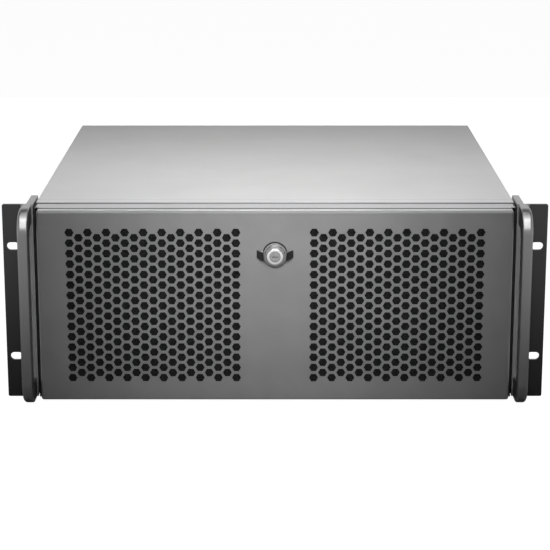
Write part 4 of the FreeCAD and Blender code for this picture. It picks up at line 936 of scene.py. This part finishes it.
# The display socket is a plated shell with slanting ends round a blue moulding.
left, right, height = display_block
shell_half = 0.009
shell_half_height = 0.0042
shell_slant = 0.86
shell_corner = 0.0018
shell_wall = 0.0005
shell_depth = 0.0012
shell_middle = Vector(((left + right) / 2, mouth_back, board_top + height / 2))
shell = block(
    "display_socket", shell_middle - Vector((shell_half, 0.0002, shell_half_height)),
    shell_middle + Vector((shell_half, 0.0022, shell_half_height)))
pick_edges(shell, lambda middle, along: abs(along.y) > 0.9 and middle.z < shell_middle.z)
bpy.ops.transform.resize(value=(shell_slant, 1, 1), center_override=shell_middle)
pick_edges(shell, lambda middle, along: abs(along.y) > 0.9)
bpy.ops.mesh.bevel(offset=shell_corner, segments=5, affect="EDGES")
pick_faces(shell, lambda centre, normal: normal.y > 0.9)
bpy.ops.mesh.inset(thickness=shell_wall)
bpy.ops.mesh.extrude_region_move(TRANSFORM_OT_translate={"value": (0, -shell_depth, 0)})
shell.data.materials.append(zinc)
blue_moulding = grained("blue moulding", (0.03, 0.09, 0.3), (0.05, 0.12, 0.38), 200.0, 0.4, bump=0.04)
shell.data.materials.append(blue_moulding)
shell.active_material_index = 1
bpy.ops.object.material_slot_assign()
smooth(shell)
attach(shell, "chassis")


# Power supply: sheet steel case with the mains inlet and the rocker switch in its rear wall.
# The inlet, the bezel and the rocker are black mouldings.
# Three flat blades of nickel plated brass stand in the inlet.

dress("supply_case", zinc)
for piece in ("mains_inlet", "rocker_bezel", "rocker_switch"):
    dress(piece, black_plastic)

inlet_low, inlet_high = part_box("mains_inlet")
inlet_middle = (inlet_low + inlet_high) / 2
blade = block("blade", (-0.0010, 0, -0.0020), (0.0010, 0.0150, 0.0020))
ease_edges(blade, 0.0004)
smooth(blade)
blade_root = inlet_low.y + 0.003
blade_spread = 0.007
blade_rise = 0.002
places = []
for side, rise in ((-1, -blade_rise), (0, blade_rise), (1, -blade_rise)):
    places.append((inlet_middle.x + side * blade_spread, blade_root, inlet_middle.z + rise))
fit(repeated("inlet_blades", blade, places), nickel, "chassis")


# Thumb screws that hold the cover, one near each end of its rear flap.
# Turned steel, nickel plated, with fluted heads.

for piece in ("left_thumb_screw", "right_thumb_screw"):
    dress(piece, nickel)


# Studio: pale floor that keeps the shadow, white surroundings, soft lamps and the camera.
# The lamps light the object; floor and surroundings glow only for the eye and in reflections.

def eased(tree, value, start, end, first, last):
    """A soft passage from one level to another as a value goes from start to end."""
    passage = tree.nodes.new("ShaderNodeMapRange")
    passage.interpolation_type = "SMOOTHSTEP"
    levels = (start, end, first, last)
    for name, level in zip(("From Min", "From Max", "To Min", "To Max"), levels):
        passage.inputs[name].default_value = level
    tree.links.new(value, passage.inputs["Value"])
    return passage.outputs["Result"]


floor_size = 12.0
floor_middle = 2.0
case_middle = 0.2
clear_selection()
bpy.ops.mesh.primitive_plane_add(size=floor_size, location=(0, floor_middle, cad_low.z))
floor = bpy.context.object
floor.name = "studio_floor"
floor_paint = bpy.data.materials.new("studio floor")
floor_paint.use_nodes = True
tree = floor_paint.node_tree
shader = tree.nodes["Principled BSDF"]
shader.inputs["Base Color"].default_value = (0.25, 0.25, 0.25, 1)
shader.inputs["Roughness"].default_value = 0.9
shader.inputs["Specular IOR Level"].default_value = 0.0
shader.inputs["Emission Color"].default_value = (1, 1, 1, 1)
rays = tree.nodes.new("ShaderNodeLightPath")
place = tree.nodes.new("ShaderNodeTexCoord")
reach = tree.nodes.new("ShaderNodeVectorMath")
reach.operation = "DISTANCE"
reach.inputs[1].default_value = (0, case_middle - floor_middle, 0)
tree.links.new(place.outputs["Object"], reach.inputs[0])

# In reflections the floor glows from a little way off, so that the near floor stays in shadow.
white = 0.96
clear_rays = reckon(tree, "MAXIMUM", rays.outputs["Is Camera Ray"], rays.outputs["Is Transmission Ray"])
far_floor = eased(tree, reach.outputs["Value"], 0.36, 1.0, 0.0, white)
mirrored = reckon(tree, "MULTIPLY", rays.outputs["Is Glossy Ray"], far_floor)
shown = reckon(tree, "MAXIMUM", reckon(tree, "MULTIPLY", clear_rays, white), mirrored)
tree.links.new(shown, shader.inputs["Emission Strength"])
floor.data.materials.append(floor_paint)

# White all round for the eye. Reflections see a white wall behind, a dark ceiling above it
# and a tall bright softbox in front that reaches overhead.
world = bpy.data.worlds.new("studio")
bpy.context.scene.world = world
world.use_nodes = True
tree = world.node_tree
background = tree.nodes["Background"]
background.inputs["Color"].default_value = (1, 1, 1, 1)
rays = tree.nodes.new("ShaderNodeLightPath")
place = tree.nodes.new("ShaderNodeTexCoord")
parts = tree.nodes.new("ShaderNodeSeparateXYZ")
tree.links.new(place.outputs["Generated"], parts.inputs["Vector"])
walls = eased(tree, parts.outputs["Z"], 0.35, 0.75, 1.0, 0.12)
sideways = reckon(tree, "ABSOLUTE", parts.outputs["X"], 0.0)
softbox_width = eased(tree, sideways, 0.25, 0.45, 1.0, 0.0)
softbox_height = eased(tree, parts.outputs["Y"], -0.15, -0.42, 0.0, 5.4)
above_rim = eased(tree, parts.outputs["Z"], 0.27, 0.40, 0.0, 1.0)
softbox = reckon(tree, "MULTIPLY", softbox_width, softbox_height)
front_softbox = reckon(tree, "MULTIPLY", softbox, above_rim)
round_about = reckon(tree, "MAXIMUM", walls, front_softbox)
mirrored = reckon(tree, "MULTIPLY", rays.outputs["Is Glossy Ray"], round_about)
clear_rays = reckon(tree, "MAXIMUM", rays.outputs["Is Camera Ray"], rays.outputs["Is Transmission Ray"])
shown = reckon(tree, "MAXIMUM", clear_rays, mirrored)
ambient = 0.05
tree.links.new(reckon(tree, "MAXIMUM", shown, ambient), background.inputs["Strength"])


def lamp(name, place, target, size, power, spread=180, in_mirrors=True):
    """A soft rectangular lamp that the eye does not see."""
    data = bpy.data.lights.new(name, "AREA")
    data.spread = math.radians(spread)
    data.shape = "RECTANGLE"
    data.size = size[0]
    data.size_y = size[1]
    data.energy = power
    light = bpy.data.objects.new(name, data)
    bpy.context.scene.collection.objects.link(light)
    light.visible_camera = False
    light.visible_glossy = in_mirrors
    light.location = place
    light.rotation_euler = (Vector(target) - Vector(place)).to_track_quat("-Z", "Y").to_euler()


lamp("overhead softbox", (0, -0.16, 0.80), (0, -0.12, 0.0), (1.4, 0.44), 4.8)
lamp("front lamp", (0, -0.62, 0.38), (0, -0.02, 0.15), (0.22, 0.12), 0.32, 38, in_mirrors=False)
lamp("lid lamp", (0, 0.16, 0.72), (0, 0.16, 0.0), (0.6, 0.10), 0.17, 70)
lamp("rear lamp", (0, 1.75, 0.09), (0, 0.42, 0.09), (1.3, 0.15), 14.0, in_mirrors=False)
for side in (-1, 1):
    lamp(
        "side lamp", (side * 1.55, 0.30, 0.09), (side * 0.21, 0.22, 0.09), (0.9, 0.15), 12.0,
        in_mirrors=False)

camera_drop = 14.284
camera_data = bpy.data.cameras.new("photo camera")
camera_data.sensor_width = 36.0
camera_data.lens = 121.24
camera = bpy.data.objects.new("photo camera", camera_data)
bpy.context.scene.collection.objects.link(camera)
camera.location = (0, -1.6021, 0.52075)
camera.rotation_euler = (math.radians(90 - camera_drop), 0, 0)
bpy.context.scene.camera = camera
bpy.context.scene.view_settings.view_transform = "Standard"
